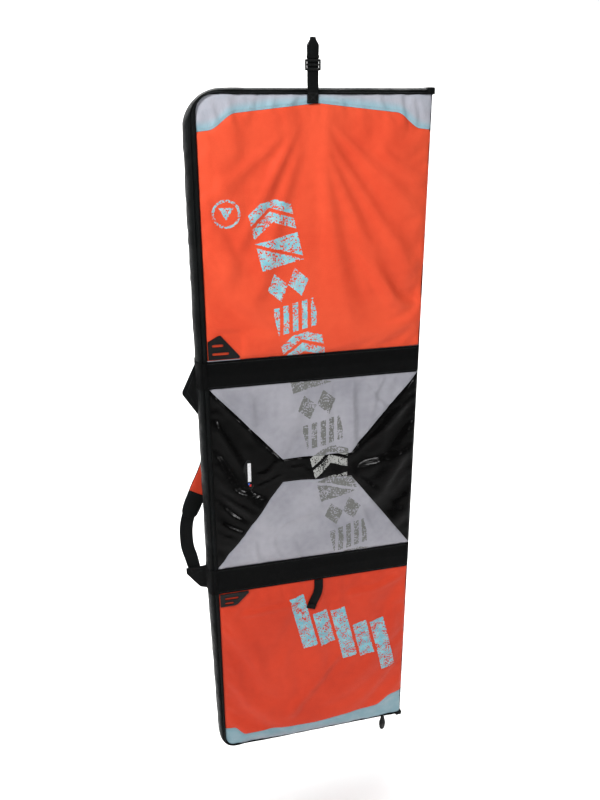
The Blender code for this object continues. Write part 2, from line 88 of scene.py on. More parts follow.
# Shapes that the model's source states and a box can't tell
TIE_LEFT = 0.178
TIE_RIGHT = 0.356
INNER_TOP_RADIUS = 0.040
OUTER_TOP_RADIUS = 0.085
INNER_BOTTOM_RADIUS = 0.026
OUTER_BOTTOM_RADIUS = 0.045
LOWER_CORNER_BORDER = 0.014
WEBBING = 0.025
# The trims' shaped edges: depth at the middle, then slope, step and the step's start and end
TOP_TRIM = 0.031
TOP_RISE = (0.028, 0.028, 0.68, 0.90)
BOTTOM_TRIM = 0.040
BOTTOM_RISE_LEFT = (0.004, 0.026, 0.78, 0.90)
BOTTOM_RISE_RIGHT = (0.026, 0.024, 0.68, 0.88)

CLOTH = 0.0011  # thickness of a panel's cloth
STEP = 0.0045  # spacing of a panel's mesh
SIM_STEP = 0.0065  # spacing of a simulated cloth's mesh
BELLOWS = 0.045  # length of the pleated part beside each fold
PRESSED = 0.0007  # height of the cloth under a sewn-down fitting
MOST_MOVED = 0.0075  # how far a simulation may move the cloth

SECTIONS = {
    "upper": (0.0, UPPER_FOLD),
    "middle": (UPPER_FOLD, LOWER_FOLD),
    "lower": (LOWER_FOLD, HEIGHT),
}
SECTION_BODY = {"upper": "top_section", "middle": "mid_section", "lower": "bottom_section"}
LID_BODY = {"upper": "lid_top", "middle": "lid_mid", "lower": "lid_bottom"}
SIDES = (("front", LID_BODY), ("back", SECTION_BODY))
# Where the sewn channels of each section's back start and end
CHANNEL_SPAN = {
    "upper": (TOP_BORDER, UPPER_FOLD - BELLOWS),
    "middle": (BAND_TOP, BAND_LOW),
    "lower": (LOWER_FOLD + BELLOWS, HEIGHT - BOTTOM_BORDER),
}


# ---------------------------------------------------------------- numbers and fields


def smooth(low, high, x):
    """0 below low, 1 above high and smooth between them."""
    t = np.clip((x - low) / (high - low), 0.0, 1.0)
    return t * t * (3 - 2 * t)


def unit(vectors):
    return vectors / np.linalg.norm(vectors, axis=-1, keepdims=True)


def lengths(line):
    """How far along a line each of its points is."""
    return np.concatenate([[0], np.cumsum(np.linalg.norm(np.diff(line, axis=0), axis=-1))])


def circle(count):
    return np.linspace(0, 2 * math.pi, count, endpoint=False)


def spot(u, y, v):
    """Points from their place on the face and their depth."""
    return np.stack(np.broadcast_arrays(X_LEFT + u, y, Z_TOP - v), axis=-1)


def rise(side, slope, step, start, end):
    """How far a trim's edge moves in, by the share of the way from the middle to a side."""
    return slope * side + step * smooth(start, end, side)


def top_trim_edge(u):
    return TOP_TRIM + rise(np.abs(u - CENTRE) / CENTRE, *TOP_RISE)


def bottom_trim_edge(u):
    side = (u - CENTRE) / CENTRE
    left = rise(np.maximum(-side, 0), *BOTTOM_RISE_LEFT)
    return HEIGHT - BOTTOM_TRIM - left - rise(np.maximum(side, 0), *BOTTOM_RISE_RIGHT)


def corner_drop(u, radius):
    """How far a rounded left corner has dropped from its straight edge, at u."""
    inside = np.clip(radius - u, 0.0, radius)
    return radius - np.sqrt(np.maximum(radius**2 - inside**2, 0.0))


def top_edge(u):
    return TOP_BORDER + corner_drop(u, INNER_TOP_RADIUS)


def bottom_edge(u):
    return HEIGHT - BOTTOM_BORDER - corner_drop(u, INNER_BOTTOM_RADIUS)


def tie_top(u):
    return np.interp(u, [0, TIE_LEFT, TIE_RIGHT, WIDTH], [BAND_TOP, TIE_TOP, TIE_TOP, BAND_TOP])


def tie_low(u):
    places = [BAND_LOW, TIE_BOTTOM, TIE_BOTTOM, BAND_LOW]
    return np.interp(u, [0, TIE_LEFT, TIE_RIGHT, WIDTH], places)


NOISE_TABLE = np.random.default_rng(7).uniform(-1, 1, (64, 64))


def noise(x, y):
    """Smooth value noise on a plane, the same on every run."""
    i, j = np.floor(x).astype(int), np.floor(y).astype(int)
    a, b = x - i, y - j
    a, b = a * a * (3 - 2 * a), b * b * (3 - 2 * b)
    n = len(NOISE_TABLE)
    top = NOISE_TABLE[i % n, j % n] * (1 - a) + NOISE_TABLE[(i + 1) % n, j % n] * a
    low = NOISE_TABLE[i % n, (j + 1) % n] * (1 - a) + NOISE_TABLE[(i + 1) % n, (j + 1) % n] * a
    return top * (1 - b) + low * b


def cubic(t):
    """The four Catmull-Rom weights at a share t between the middle two."""
    return (
        0.5 * (-t + 2 * t**2 - t**3),
        0.5 * (2 - 5 * t**2 + 3 * t**3),
        0.5 * (t + 4 * t**2 - 3 * t**3),
        0.5 * (-(t**2) + t**3),
    )


def curve_through(rows, steps):
    """A smooth path through rows of numbers."""
    rows = np.asarray(rows, float)
    ends = np.concatenate([rows[:1], rows, rows[-1:]])
    found = []
    for k in range(len(rows) - 1):
        for t in np.arange(steps) / steps:
            found.append(sum(w * ends[k + j] for j, w in enumerate(cubic(t))))
    return np.array([*found, rows[-1]])


# ---------------------------------------------------------------- folds and the cloth's shape


def folds(*rows):
    """Folds from rows of (u, v, u, v, width, width) in mm and height in tenths of one."""
    return [[n / 1000 for n in row[:6]] + [row[6] / 10000] for row in rows]


def creases(u, v, lines):
    """Raised folds along lines (u, v, u, v, width, width, height), each with a valley beside it."""
    total = np.zeros(np.broadcast(u, v).shape)
    for u0, v0, u1, v1, w0, w1, height in lines:
        length = math.hypot(u1 - u0, v1 - v0)
        du, dv = (u1 - u0) / length, (v1 - v0) / length
        along = ((u - u0) * du + (v - v0) * dv) / length
        bend = 0.006 * noise(along * 3 + u0 * 90, along * 0 + v0 * 90)
        off = (u - u0) * dv - (v - v0) * du + bend
        w = w0 + (w1 - w0) * np.clip(along, 0, 1)
        ends = smooth(-0.05, 0.22, along) * (1 - smooth(0.72, 1.06, along))
        ridge = np.exp(-((off / w) ** 2))
        valley = np.exp(-(((off - 1.7 * w) / (1.3 * w)) ** 2))
        total += height * ends * (ridge - 0.6 * valley)
    return total


# Folds that run out from the hanging strap's anchor, and those across the upper panel
ANCHOR_FOLDS = folds(
    (235, 50, 10, 470, 9, 20, 60), (245, 70, 75, 560, 9, 24, 40), (215, 70, -10, 260, 9, 20, 38),
    (272, 60, 540, 300, 9, 20, 58), (268, 80, 540, 460, 10, 22, 78), (265, 90, 500, 590, 10, 24, 60),
    (262, 130, 360, 590, 12, 24, 30), (340, 320, 535, 560, 11, 19, 66),
    (400, 120, 535, 215, 9, 14, 36), (420, 430, 535, 520, 8, 12, 40), (20, 100, 12, 350, 8, 8, 22),
)
TRIM_FOLDS = folds(
    (30, 22, 52, 82, 4, 6, 26), (72, 16, 84, 80, 4, 5, 22), (128, 14, 108, 70, 4, 6, 22),
    (170, 14, 150, 60, 4, 6, 18), (218, 14, 186, 52, 4, 6, 24), (292, 14, 330, 52, 4, 6, 22),
    (350, 14, 378, 60, 4, 6, 18), (402, 14, 436, 80, 4, 6, 30), (452, 12, 466, 85, 4, 5, 34),
    (482, 12, 490, 80, 4, 5, 30), (512, 14, 510, 85, 4, 4, 26),
)
LOWER_FOLDS = folds(
    (40, 1305, 240, 1290, 6, 9, 43), (340, 1300, 530, 1262, 7, 10, 46),
    (90, 1380, 120, 1690, 14, 20, 35), (40, 1420, 55, 1640, 10, 12, 32),
    (170, 1420, 205, 1690, 14, 18, 30), (360, 1460, 160, 1700, 10, 16, 46),
    (480, 1300, 500, 1640, 12, 14, 24), (260, 1350, 300, 1640, 18, 22, 19),
)
WHITE_FOLDS = folds(
    (110, 800, 260, 725, 6, 9, 36), (190, 862, 262, 785, 5, 7, 30), (350, 680, 368, 860, 9, 9, 42),
    (385, 668, 455, 770, 6, 8, 34), (90, 668, 112, 770, 8, 8, 28), (440, 660, 400, 760, 5, 7, 26),
    (150, 1045, 258, 1005, 6, 9, 36), (176, 968, 246, 932, 5, 6, 28),
    (95, 1075, 118, 1160, 5, 7, 40), (145, 1070, 172, 1160, 5, 7, 36),
    (195, 1080, 222, 1160, 5, 7, 30), (375, 1000, 425, 1125, 7, 9, 36),
    (300, 1050, 372, 1155, 7, 10, 32),
)
BLACK_FOLDS = folds(
    (18, 690, 165, 872, 7, 12, 24), (14, 740, 85, 900, 6, 9, 22), (110, 900, 180, 862, 5, 7, 20),
    (105, 935, 185, 905, 4, 6, 20), (10, 930, 110, 1020, 5, 6, 38), (10, 965, 100, 1050, 5, 6, 42),
    (10, 1010, 90, 1066, 4, 6, 44), (10, 1055, 78, 1085, 4, 5, 40), (36, 920, 150, 985, 4, 6, 20),
    (60, 800, 90, 980, 6, 6, 14), (195, 880, 260, 902, 4, 6, 16), (350, 885, 520, 725, 7, 12, 20),
    (360, 900, 525, 880, 7, 12, 15), (360, 920, 520, 1080, 7, 12, 22),
    (480, 720, 500, 1060, 8, 10, 16), (440, 790, 460, 990, 7, 9, 12),
)
LINING_TALL = LOWER_FOLD - UPPER_FOLD
LINING_FOLDS = [
    (0.02, 0.02, 0.20, 0.16, 0.006, 0.012, 0.0022),
    (0.02, LINING_TALL - 0.02, 0.17, LINING_TALL - 0.15, 0.006, 0.012, 0.0022),
    (WIDTH - 0.02, 0.02, WIDTH - 0.17, 0.17, 0.006, 0.012, 0.0020),
    (WIDTH - 0.02, LINING_TALL - 0.02, WIDTH - 0.19, LINING_TALL - 0.14, 0.006, 0.012, 0.0024),
    (0.03, 0.30, 0.25, 0.27, 0.008, 0.014, 0.0016),
    (WIDTH - 0.03, 0.36, 0.30, 0.33, 0.008, 0.014, 0.0018),
]


def pillow(u, v, top, low, height):
    a = np.abs(2 * np.clip(u / WIDTH, 0, 1) - 1)
    b = np.abs(2 * np.clip((v - top) / (low - top), 0, 1) - 1)
    return height * (1 - a**3.2) * (1 - b**3.6)


def front_seed(u, v):
    """The front's shape before the simulation: a crown in each part and its main folds."""
    crown = pillow(u, v, 0.0, UPPER_FOLD, 0.0085)
    crown = crown + pillow(u, v, BAND_TOP, BAND_LOW, 0.0046)
    crown = crown + pillow(u, v, LOWER_FOLD, HEIGHT, 0.0064)
    side = smooth(0, 0.035, u) * smooth(0, 0.020, WIDTH - u)
    gathers = noise(u * 55 + v * 22, v * 9 + 2.6) + 0.5 * noise(u * 120 - v * 30, v * 14)
    crown = crown + 0.0013 * gathers * smooth(0.012, 0.028, v) * (1 - smooth(0.045, 0.085, v))
    upper = creases(u, v, ANCHOR_FOLDS) * smooth(0.03, 0.09, v)
    upper = upper * (1 - smooth(-0.03, 0.0, v - UPPER_FOLD))
    upper = upper + creases(u, v, TRIM_FOLDS) * smooth(0.010, 0.022, v)
    lower = creases(u, v, LOWER_FOLDS) * smooth(0.0, 0.03, v - LOWER_FOLD)
    lower = lower * smooth(0.02, 0.05, HEIGHT - v)
    middle = smooth(0.0, 0.012, v - BAND_TOP) * smooth(0.0, 0.012, BAND_LOW - v)
    outside = np.minimum(np.maximum(tie_top(u) - v, v - tie_low(u)), 0.02) / 0.006
    on_white = np.clip(0.5 + outside, 0, 1)
    whites = creases(u, v, WHITE_FOLDS) * on_white
    blacks = creases(u, v, BLACK_FOLDS) * (1 - on_white)
    return crown + side * (upper + lower + middle * (whites + blacks))


def back_channels(section):
    """How far down each sewn channel of a section's back is."""
    top, low = CHANNEL_SPAN[section]
    return [top + (low - top) * k / 4 for k in range(1, 4)]


def back_seed(u, v):
    """The back's shape before the simulation: padded channels sewn across it."""
    depth = 0.0
    side = smooth(0, 0.04, u) * smooth(0, 0.03, WIDTH - u)
    for section, (top, low) in SECTIONS.items():
        depth = depth + pillow(u, v, top, low, 0.0062)
        for place in back_channels(section):
            gap = np.abs(v - place)
            dip = 0.0030 * np.exp(-gap / 0.009) + 0.0011 * np.exp(-((gap / 0.004) ** 2))
            depth = depth - side * dip
    wide = 0.0016 * noise(u * 9 + 3.3, v * 7 + 8.1)
    return depth + wide * side


def inner_seed(u, v):
    """The lining's loose cloth: low swells, and folds that run in from the corners."""
    wide = 0.0016 * noise(u * 11 + 40.3, v * 8 + 21.7)
    return (wide + creases(u, v, LINING_FOLDS)) * smooth(0, 0.03, u) * smooth(0, 0.02, WIDTH - u)


def grid_faces(rows, columns, start=0, flip=False):
    index = start + np.arange(rows * columns).reshape(rows, columns)
    around = [index[:-1, :-1], index[1:, :-1], index[1:, 1:], index[:-1, 1:]]
    faces = np.stack(around, axis=-1).reshape(-1, 4)
    return faces[:, ::-1] if flip else faces


CLOTH_SETTINGS = {
    "quality": 5, "mass": 0.12, "air_damping": 6.0, "tension_stiffness": 25,
    "compression_stiffness": 25, "shear_stiffness": 8, "vertex_group_mass": "pins",
    "pin_stiffness": 1.0,
}


def relax(seed, top, low, shrink, bending, frames):
    """A cloth simulation of one part of a face, pinned round its edge, with slack in the cloth.

    Returns the places of the grid's columns and rows, and its heights."""
    us = np.linspace(0, WIDTH, round(WIDTH / SIM_STEP) + 1)
    vs = np.linspace(top, low, round((low - top) / SIM_STEP) + 1)
    grid_u, grid_v = np.meshgrid(us, vs)
    start = seed(grid_u, grid_v)
    rows, columns = start.shape
    points = np.stack([grid_u, -start, -grid_v], axis=-1).reshape(-1, 3)
    mesh = bpy.data.meshes.new("relaxing")
    mesh.from_pydata(points.tolist(), [], grid_faces(rows, columns).tolist())
    cloth = bpy.data.objects.new("relaxing", mesh)
    bpy.context.collection.objects.link(cloth)
    index = np.arange(rows * columns).reshape(rows, columns)
    rim = np.concatenate([index[0], index[-1], index[:, 0], index[:, -1]])
    cloth.vertex_groups.new(name="pins").add(np.unique(rim).tolist(), 1.0, "REPLACE")
    modifier = cloth.modifiers.new("Cloth", "CLOTH")
    settings = {**CLOTH_SETTINGS, "bending_stiffness": bending, "shrink_min": shrink}
    for name, value in settings.items():
        setattr(modifier.settings, name, value)
    modifier.settings.effector_weights.gravity = 0.25
    modifier.collision_settings.use_collision = False
    scene = bpy.context.scene
    scene.frame_start = modifier.point_cache.frame_start = 1
    scene.frame_end = modifier.point_cache.frame_end = frames
    for number in range(1, frames + 1):
        scene.frame_set(number)
    evaluated = cloth.evaluated_get(bpy.context.evaluated_depsgraph_get())
    moved = np.empty(rows * columns * 3)
    evaluated.data.vertices.foreach_get("co", moved)
    heights = -moved.reshape(rows, columns, 3)[..., 1]
    bpy.data.objects.remove(cloth, do_unlink=True)
    bpy.data.meshes.remove(mesh)
    scene.frame_set(1)
    heights = start + MOST_MOVED * np.tanh((heights - start) / MOST_MOVED)
    padded = np.pad(heights, 1, mode="edge")
    kernel = ((0, 1, 1), (0, -1, 1), (1, 0, 1), (-1, 0, 1), (0, 0, 4))
    total = sum(w * np.roll(padded, (i, j), (0, 1)) for i, j, w in kernel)
    return us, vs, (total / 8)[1:-1, 1:-1]


class Face:
    """The heights of one face of the bag, in parts that share their edges."""

    def __init__(self, seed, parts, pressed=()):
        self.seed = seed
        self.parts = [relax(seed, *part) for part in parts]
        self.pressed = pressed

    def height(self, u, v):
        u, v = np.broadcast_arrays(np.asarray(u, float), np.asarray(v, float))
        found = self.seed(u, v)
        for us, vs, grid in self.parts:
            inside = (v >= vs[0]) & (v <= vs[-1])
            found = np.where(inside, self.sample(us, vs, grid, u, v), found)
        for u0, u1, v0, v1 in self.pressed:
            aside = np.maximum(u0 - u, u - u1).clip(0)
            beyond = np.hypot(aside, np.maximum(v0 - v, v - v1).clip(0))
            found = found + (PRESSED - found) * (1 - smooth(0.001, 0.020, beyond))
        return found

    @staticmethod
    def sample(us, vs, grid, u, v):
        x = np.clip((u - us[0]) / (us[1] - us[0]), 0, len(us) - 1.001)
        y = np.clip((v - vs[0]) / (vs[1] - vs[0]), 0, len(vs) - 1.001)
        i, j = x.astype(int), y.astype(int)
        total = np.zeros(u.shape)
        for b, wy in zip(range(-1, 3), cubic(y - j)):
            row = np.clip(j + b, 0, len(vs) - 1)
            for a, wx in zip(range(-1, 3), cubic(x - i)):
                total += wx * wy * grid[row, np.clip(i + a, 0, len(us) - 1)]
        return total

    def points(self, u, v, lift=0.0):
        """Points on the cloth, raised by lift."""
        height = self.height(u, v) + lift
        return spot(u, Y_BACK + height if self is BACK else Y_FRONT - height, v)


def place_of(node):
    """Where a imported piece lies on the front, as (u, u, v, v)."""
    low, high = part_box(node)
    return low.x - X_LEFT, high.x - X_LEFT, Z_TOP - high.z, Z_TOP - low.z


FRONT = Face(
    front_seed,
    [
        (0.0, UPPER_FOLD, -0.010, 4.0, 26),
        (BAND_TOP, BAND_LOW, -0.016, 1.2, 26),
        (LOWER_FOLD, HEIGHT, -0.010, 4.0, 26),
    ],
    [place_of(node) for node in ("lash_patch_upper", "lash_patch_lower", "strap_anchor")],
)
BACK = Face(back_seed, [(top, low, -0.008, 5.0, 18) for top, low in SECTIONS.values()])
INSIDE = Face(inner_seed, [(0.0, LINING_TALL, -0.022, 0.6, 24)])


# ---------------------------------------------------------------- meshes


def add_object(name, mesh, paint, sharp):
    mesh.shade_smooth()
    mesh.set_sharp_from_angle(angle=math.radians(sharp))
    mesh.materials.append(paint)
    obj = bpy.data.objects.new(name, mesh)
    bpy.context.collection.objects.link(obj)
    return obj


def make_object(name, points, faces, paint, uv=None, sharp=40):
    """A mesh object from points and faces, with a UV map in metres if one is given."""
    mesh = bpy.data.meshes.new(name)
    mesh.from_pydata(np.asarray(points).tolist(), [], [list(map(int, f)) for f in faces])
    if uv is not None:
        layer = mesh.uv_layers.new(name="metres")
        loops = np.empty(len(mesh.loops), int)
        mesh.loops.foreach_get("vertex_index", loops)
        layer.data.foreach_set("uv", np.asarray(uv)[loops].ravel())
    mesh.validate()
    return add_object(name, mesh, paint, sharp)


def settle(obj, body=None, nodes=()):
    """Fixes a piece to a body, and hides the CAD nodes that it stands for."""
    if body:
        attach(obj, body)
    if nodes:
        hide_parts(*nodes)
    return obj


def normals_of(grid, outward):
    """Unit normals of a grid of points, on the side of a direction or of one for each point."""
    n = np.cross(np.gradient(grid, axis=1), np.gradient(grid, axis=0))
    n /= np.maximum(np.linalg.norm(n, axis=-1, keepdims=True), 1e-12)
    return -n if (n * outward).sum(-1).mean() < 0 else n


def sheet_object(name, grid, uv, paint, outward, thickness=CLOTH):
    """A closed thin sheet: grid is its outer face, by row and column of points."""
    rows, columns = grid.shape[:2]
    count = rows * columns
    inner = grid - thickness * normals_of(grid, np.asarray(outward, float))
    points = np.concatenate([grid.reshape(-1, 3), inner.reshape(-1, 3)])
    a, b, c = points[grid_faces(rows, columns)[0, :3]]
    flip = np.dot(np.cross(b - a, c - b), grid[0, 0] - inner[0, 0]) < 0
    index = np.arange(count).reshape(rows, columns)
    loop = np.concatenate([index[0], index[1:, -1], index[-1, -2::-1], index[-2:0:-1, 0]])
    ahead = np.roll(loop, -1)
    rim = np.stack([loop, ahead, ahead + count, loop + count], axis=-1)
    two_faces = [grid_faces(rows, columns, 0, flip), grid_faces(rows, columns, count, not flip)]
    faces = np.concatenate([*two_faces, rim[:, ::-1] if flip else rim])
    return make_object(name, points, faces, paint, np.concatenate([uv.reshape(-1, 2)] * 2))


def tube_object(name, rings, paint, uv=None, closed=False, sharp=40):
    """A skin through rings of points; it is capped unless it closes on itself."""
    rings = np.asarray(rings)
    count, around = rings.shape[:2]
    index = np.arange(count * around).reshape(count, around)
    following = np.roll(index, -1, axis=0) if closed else index[1:]
    first = index if closed else index[:-1]
    sides = [first, np.roll(first, -1, axis=1), np.roll(following, -1, axis=1), following]
    faces = np.stack(sides, axis=-1).reshape(-1, 4).tolist()
    if not closed:
        faces += [index[0, ::-1].tolist(), index[-1].tolist()]
    return make_object(name, rings.reshape(-1, 3), faces, paint, uv, sharp)


def grid_closed(rings, around):
    """Faces of a capped tube with that many rings and points around it."""
    faces = []
    for r in range(rings - 1):
        for k in range(around):
            j = (k + 1) % around
            faces.append([r * around + k, r * around + j, (r + 1) * around + j, (r + 1) * around + k])
    faces.append(list(range(around))[::-1])
    faces.append([(rings - 1) * around + k for k in range(around)])
    return faces


# Webbing's section, thicker at its two woven edges: the second half mirrors the first
HALF_SECTION = [
    (-1, 0), (-0.985, 0.75), (-0.90, 1), (-0.45, 0.93), (0, 0.90), (0.45, 0.93), (0.90, 1),
    (0.985, 0.75),
]
STRAP_SECTION = np.array(HALF_SECTION + [(-x, -y) for x, y in HALF_SECTION], float)


def strap(name, path, sides, widths, thickness, paint, section=STRAP_SECTION):
    """Webbing along a path: sides are the directions across it. Its UV runs along, then across."""
    tangents = unit(np.gradient(path, axis=0))
    sides = np.broadcast_to(np.asarray(sides, float), path.shape)
    sides = unit(sides - tangents * (sides * tangents).sum(1, keepdims=True))
    ups = np.cross(tangents, sides)
    across = np.broadcast_to(widths, len(path))[:, None] / 2 * section[:, 0]
    proud = np.broadcast_to(thickness, len(path))[:, None] / 2 * section[:, 1]
    rings = path[:, None] + sides[:, None] * across[..., None] + ups[:, None] * proud[..., None]
    uv = np.stack([np.repeat(lengths(path)[:, None], len(section), 1), across], axis=-1)
    return tube_object(name, rings, paint, uv.reshape(-1, 2))


def rim_tube(name, path, radius, paint, body, closed=False, around=10):
    """A round cord, such as piping, along a path."""
    path = np.asarray(path, float)
    if closed:
        tangents = unit(np.roll(path, -1, axis=0) - np.roll(path, 1, axis=0))
    else:
        tangents = unit(np.gradient(path, axis=0))
    a = unit(np.cross(tangents, (0.13, 1.0, 0.21)))
    b = np.cross(tangents, a)
    turns = circle(around)
    ring = a[:, None] * np.cos(turns)[:, None] + b[:, None] * np.sin(turns)[:, None]
    uv = np.stack(np.meshgrid(turns * 0.001, lengths(path)), axis=-1)
    obj = tube_object(name, path[:, None] + ring * radius, paint, uv.reshape(-1, 2), closed)
    return settle(obj, body)


def along_line(points, pitch):
    """Points evenly spaced on a line through points, and the directions there."""
    total = lengths(points)
    count = max(2, int(total[-1] / pitch))
    places = (np.arange(count) + 0.5) * total[-1] / count

    def at(there):
        return np.stack([np.interp(there, total, points[:, k]) for k in range(3)], axis=-1)

    return at(places), unit(at(places + 0.0006) - at(places - 0.0006))


def stitches(name, lines, paint, body, pitch=0.0036, length=0.0025, radius=0.00036):
    """Sewn thread: a small spindle for each stitch on each line of (points, outward)."""
    points, faces = [], []
    ring = ((1, 0), (0, 1), (-1, 0), (0, -1))
    profile = ((-0.5, 0.25), (-0.22, 1.0), (0.22, 1.0), (0.5, 0.25))
    sides = grid_closed(len(profile), len(ring))
    for line, outward in lines:
        places, ways = along_line(line, pitch)
        out = np.broadcast_to(np.asarray(outward, float), places.shape)
        for place, way, side, up in zip(places, ways, unit(np.cross(ways, out)), out):
            start = len(points)
            for t, share in profile:
                for a, b in ring:
                    flat = side * a + up * b * 0.7
                    points.append(place + way * t * length + flat * radius * share)
            faces += [[start + k for k in face] for face in sides]
    return settle(make_object(name, points, faces, paint), body)


def join(objects, name):
    """Joins objects that share a material into one, and gives it a name."""
    points, faces, uv = [], [], []
    paint = objects[0].data.materials[0]
    has_uv = bool(objects[0].data.uv_layers)
    for obj in objects:
        start = len(points)
        points += [tuple(v.co) for v in obj.data.vertices]
        faces += [[start + k for k in p.vertices] for p in obj.data.polygons]
        if has_uv:
            found = {}
            for loop, data in zip(obj.data.loops, obj.data.uv_layers[0].data):
                found[loop.vertex_index] = tuple(data.uv)
            uv += [found[k] for k in range(len(obj.data.vertices))]
        bpy.data.objects.remove(obj, do_unlink=True)
    return make_object(name, points, faces, paint, uv if has_uv else None)


def rounded_block(low, high, radius, paint, name="block", with_uv=False):
    """A box with rounded edges. Its UV map, if it has one, runs along z and across."""
    low, high = np.asarray(low, float), np.asarray(high, float)
    bm = bmesh.new()
    bmesh.ops.create_cube(bm, size=1.0)
    for vert in bm.verts:
        vert.co = Vector((np.array(vert.co) + 0.5) * (high - low) + low)
    bmesh.ops.bevel(bm, geom=bm.edges[:], offset=radius, segments=3, profile=0.5, affect="EDGES")
    mesh = bpy.data.meshes.new(name)
    bm.to_mesh(mesh)
    bm.free()
    if with_uv:
        layer = mesh.uv_layers.new(name="metres")
        for loop, data in zip(mesh.loops, layer.data):
            co = mesh.vertices[loop.vertex_index].co
            data.uv = (co.z, co.x + co.y)
    return add_object(name, mesh, paint, 50)


# ---------------------------------------------------------------- materials


def linear(code):
    """A colour for a shader from a hex code."""
    parts = [int(code[i : i + 2], 16) / 255 for i in (0, 2, 4)]
    return [c / 12.92 if c <= 0.04045 else ((c + 0.055) / 1.055) ** 2.4 for c in parts] + [1.0]


def feed(socket, value):
    """Gives a node's input a number, a hex colour, or what another node puts out."""
    if isinstance(value, Value):
        value = value.socket
    if isinstance(value, bpy.types.NodeSocket):
        socket.id_data.links.new(value, socket)
    else:
        socket.default_value = linear(value) if isinstance(value, str) else value


def new_node(tree, kind, inputs, **settings):
    """A shader node with its settings, and what each input gets, by name or number."""
    node = tree.nodes.new(f"ShaderNode{kind}")
    for name, value in settings.items():
        setattr(node, name, value)
    for key, value in inputs.items():
        feed(node.inputs[key], value)
    return node


def operator(operation):
    def apply(self, *others):
        inputs = dict(enumerate((self, *others)))
        return Value(new_node(self.socket.id_data, "Math", inputs, operation=operation).outputs[0])

    return apply


class Value:
    """A number in a material, with arithmetic that makes the nodes for it."""

    def __init__(self, socket):
        self.socket = socket

    __add__ = operator("ADD")
    __sub__ = operator("SUBTRACT")
    __mul__ = __rmul__ = operator("MULTIPLY")
    __truediv__ = operator("DIVIDE")
    under = operator("LESS_THAN")
    over = operator("GREATER_THAN")
    lesser = operator("MINIMUM")
    greater = operator("MAXIMUM")
    size = operator("ABSOLUTE")
    part = operator("FRACT")
    sine = operator("SINE")
    root = operator("SQRT")

    def wave(self, period):
        return (self * (2 * math.pi / period)).sine()

    def step(self, low, high):
        """0 below low, 1 above high and smooth between them."""
        inputs = {"Value": self, "From Min": low, "From Max": high}
        node = new_node(self.socket.id_data, "MapRange", inputs, interpolation_type="SMOOTHSTEP")
        return Value(node.outputs[0])


class Paint:
    """A material under construction."""

    def __init__(self, name, by_uv=True):
        self.material = bpy.data.materials.new(name)
        self.material.use_nodes = True
        self.tree = self.material.node_tree
        self.shader = self.tree.nodes["Principled BSDF"]
        if by_uv:
            self.place = new_node(self.tree, "UVMap", {}, uv_map="metres").outputs[0]
        else:
            self.place = new_node(self.tree, "TexCoord", {}).outputs["Object"]
        split = new_node(self.tree, "SeparateXYZ", {0: self.place})
        self.x, self.y = (Value(socket) for socket in split.outputs[:2])

    def noise(self, scale, detail=3.0, roughness=0.5, stretch=None):
        place = self.place
        if stretch:
            place = new_node(self.tree, "Mapping", {0: place, "Scale": stretch}).outputs[0]
        inputs = {"Vector": place, "Scale": scale, "Detail": detail, "Roughness": roughness}
        return Value(new_node(self.tree, "TexNoise", inputs).outputs[0])

    def mix(self, share, first, second):
        """A colour between two; each is a hex code or a colour socket."""
        node = new_node(self.tree, "Mix", {"Factor": share}, data_type="RGBA")
        colours = [socket for socket in node.inputs if socket.type == "RGBA"]
        for socket, colour in zip(colours, (first, second)):
            feed(socket, colour)
        return next(socket for socket in node.outputs if socket.type == "RGBA")

    def blotch(self, scale, detail, low, high, first, second):
        """Blotches of two colours."""
        return self.mix(self.noise(scale, detail).step(low, high), first, second)

    def mottle(self, scale, detail, spread, base):
        """A number that wanders up from a base."""
        return self.noise(scale, detail) * spread + base

    def weave(self, period=0.0016):
        """Height of a plain weave, with threads that vary."""
        return self.x.wave(period) * self.y.wave(period) * 0.5 + self.noise(900, 2) * 0.6

    def finish(self, colour, roughness, bump=None, depth=0.0003, **constants):
        """Feeds the shader. A constant is its socket's name, with _ for each space."""
        feed(self.shader.inputs["Base Color"], colour)
        feed(self.shader.inputs["Roughness"], roughness)
        if bump is not None:
            inputs = {"Strength": 1.0, "Distance": depth, "Height": bump}
            feed(self.shader.inputs["Normal"], new_node(self.tree, "Bump", inputs).outputs[0])
        for label, value in constants.items():
            self.shader.inputs[label.replace("_", " ")].default_value = value
        return self.material


PRINT_TURN = math.radians(13.2)  # the printed strip's slant from the vertical
PRINT_START = (0.150, 0.232)  # where its middle line starts
PRINT_PITCH = 0.078  # length of one of its shapes
PRINT_HALF = 0.050  # half of its width
PRINT_SHAPES = 12.2  # how many shapes long it is
RAGGED = 0.0040  # how far a print's edges wander
RING_MIDDLE = (0.057, 0.256)
RING_RADIUS = 0.0285
RING_HALF = 0.0028
WEDGE = 0.0135
# A row of leaning bars on the lower panel, long and short in turn, each a step down from the last
BAR_COUNT = 5
BAR_START = (0.230, 1.358)
BAR_STEP = (0.058, 0.029)
BAR_HALVES = (0.0205, 0.086, 0.056)  # half of a bar's width, a long bar's height, a short bar's


def turned(x, y, middle, turn):
    """Places along and across a line through a point."""
    c, s = math.cos(turn), math.sin(turn)
    dx, dy = x - middle[0], y - middle[1]
    return dx * s + dy * c, dx * c - dy * s


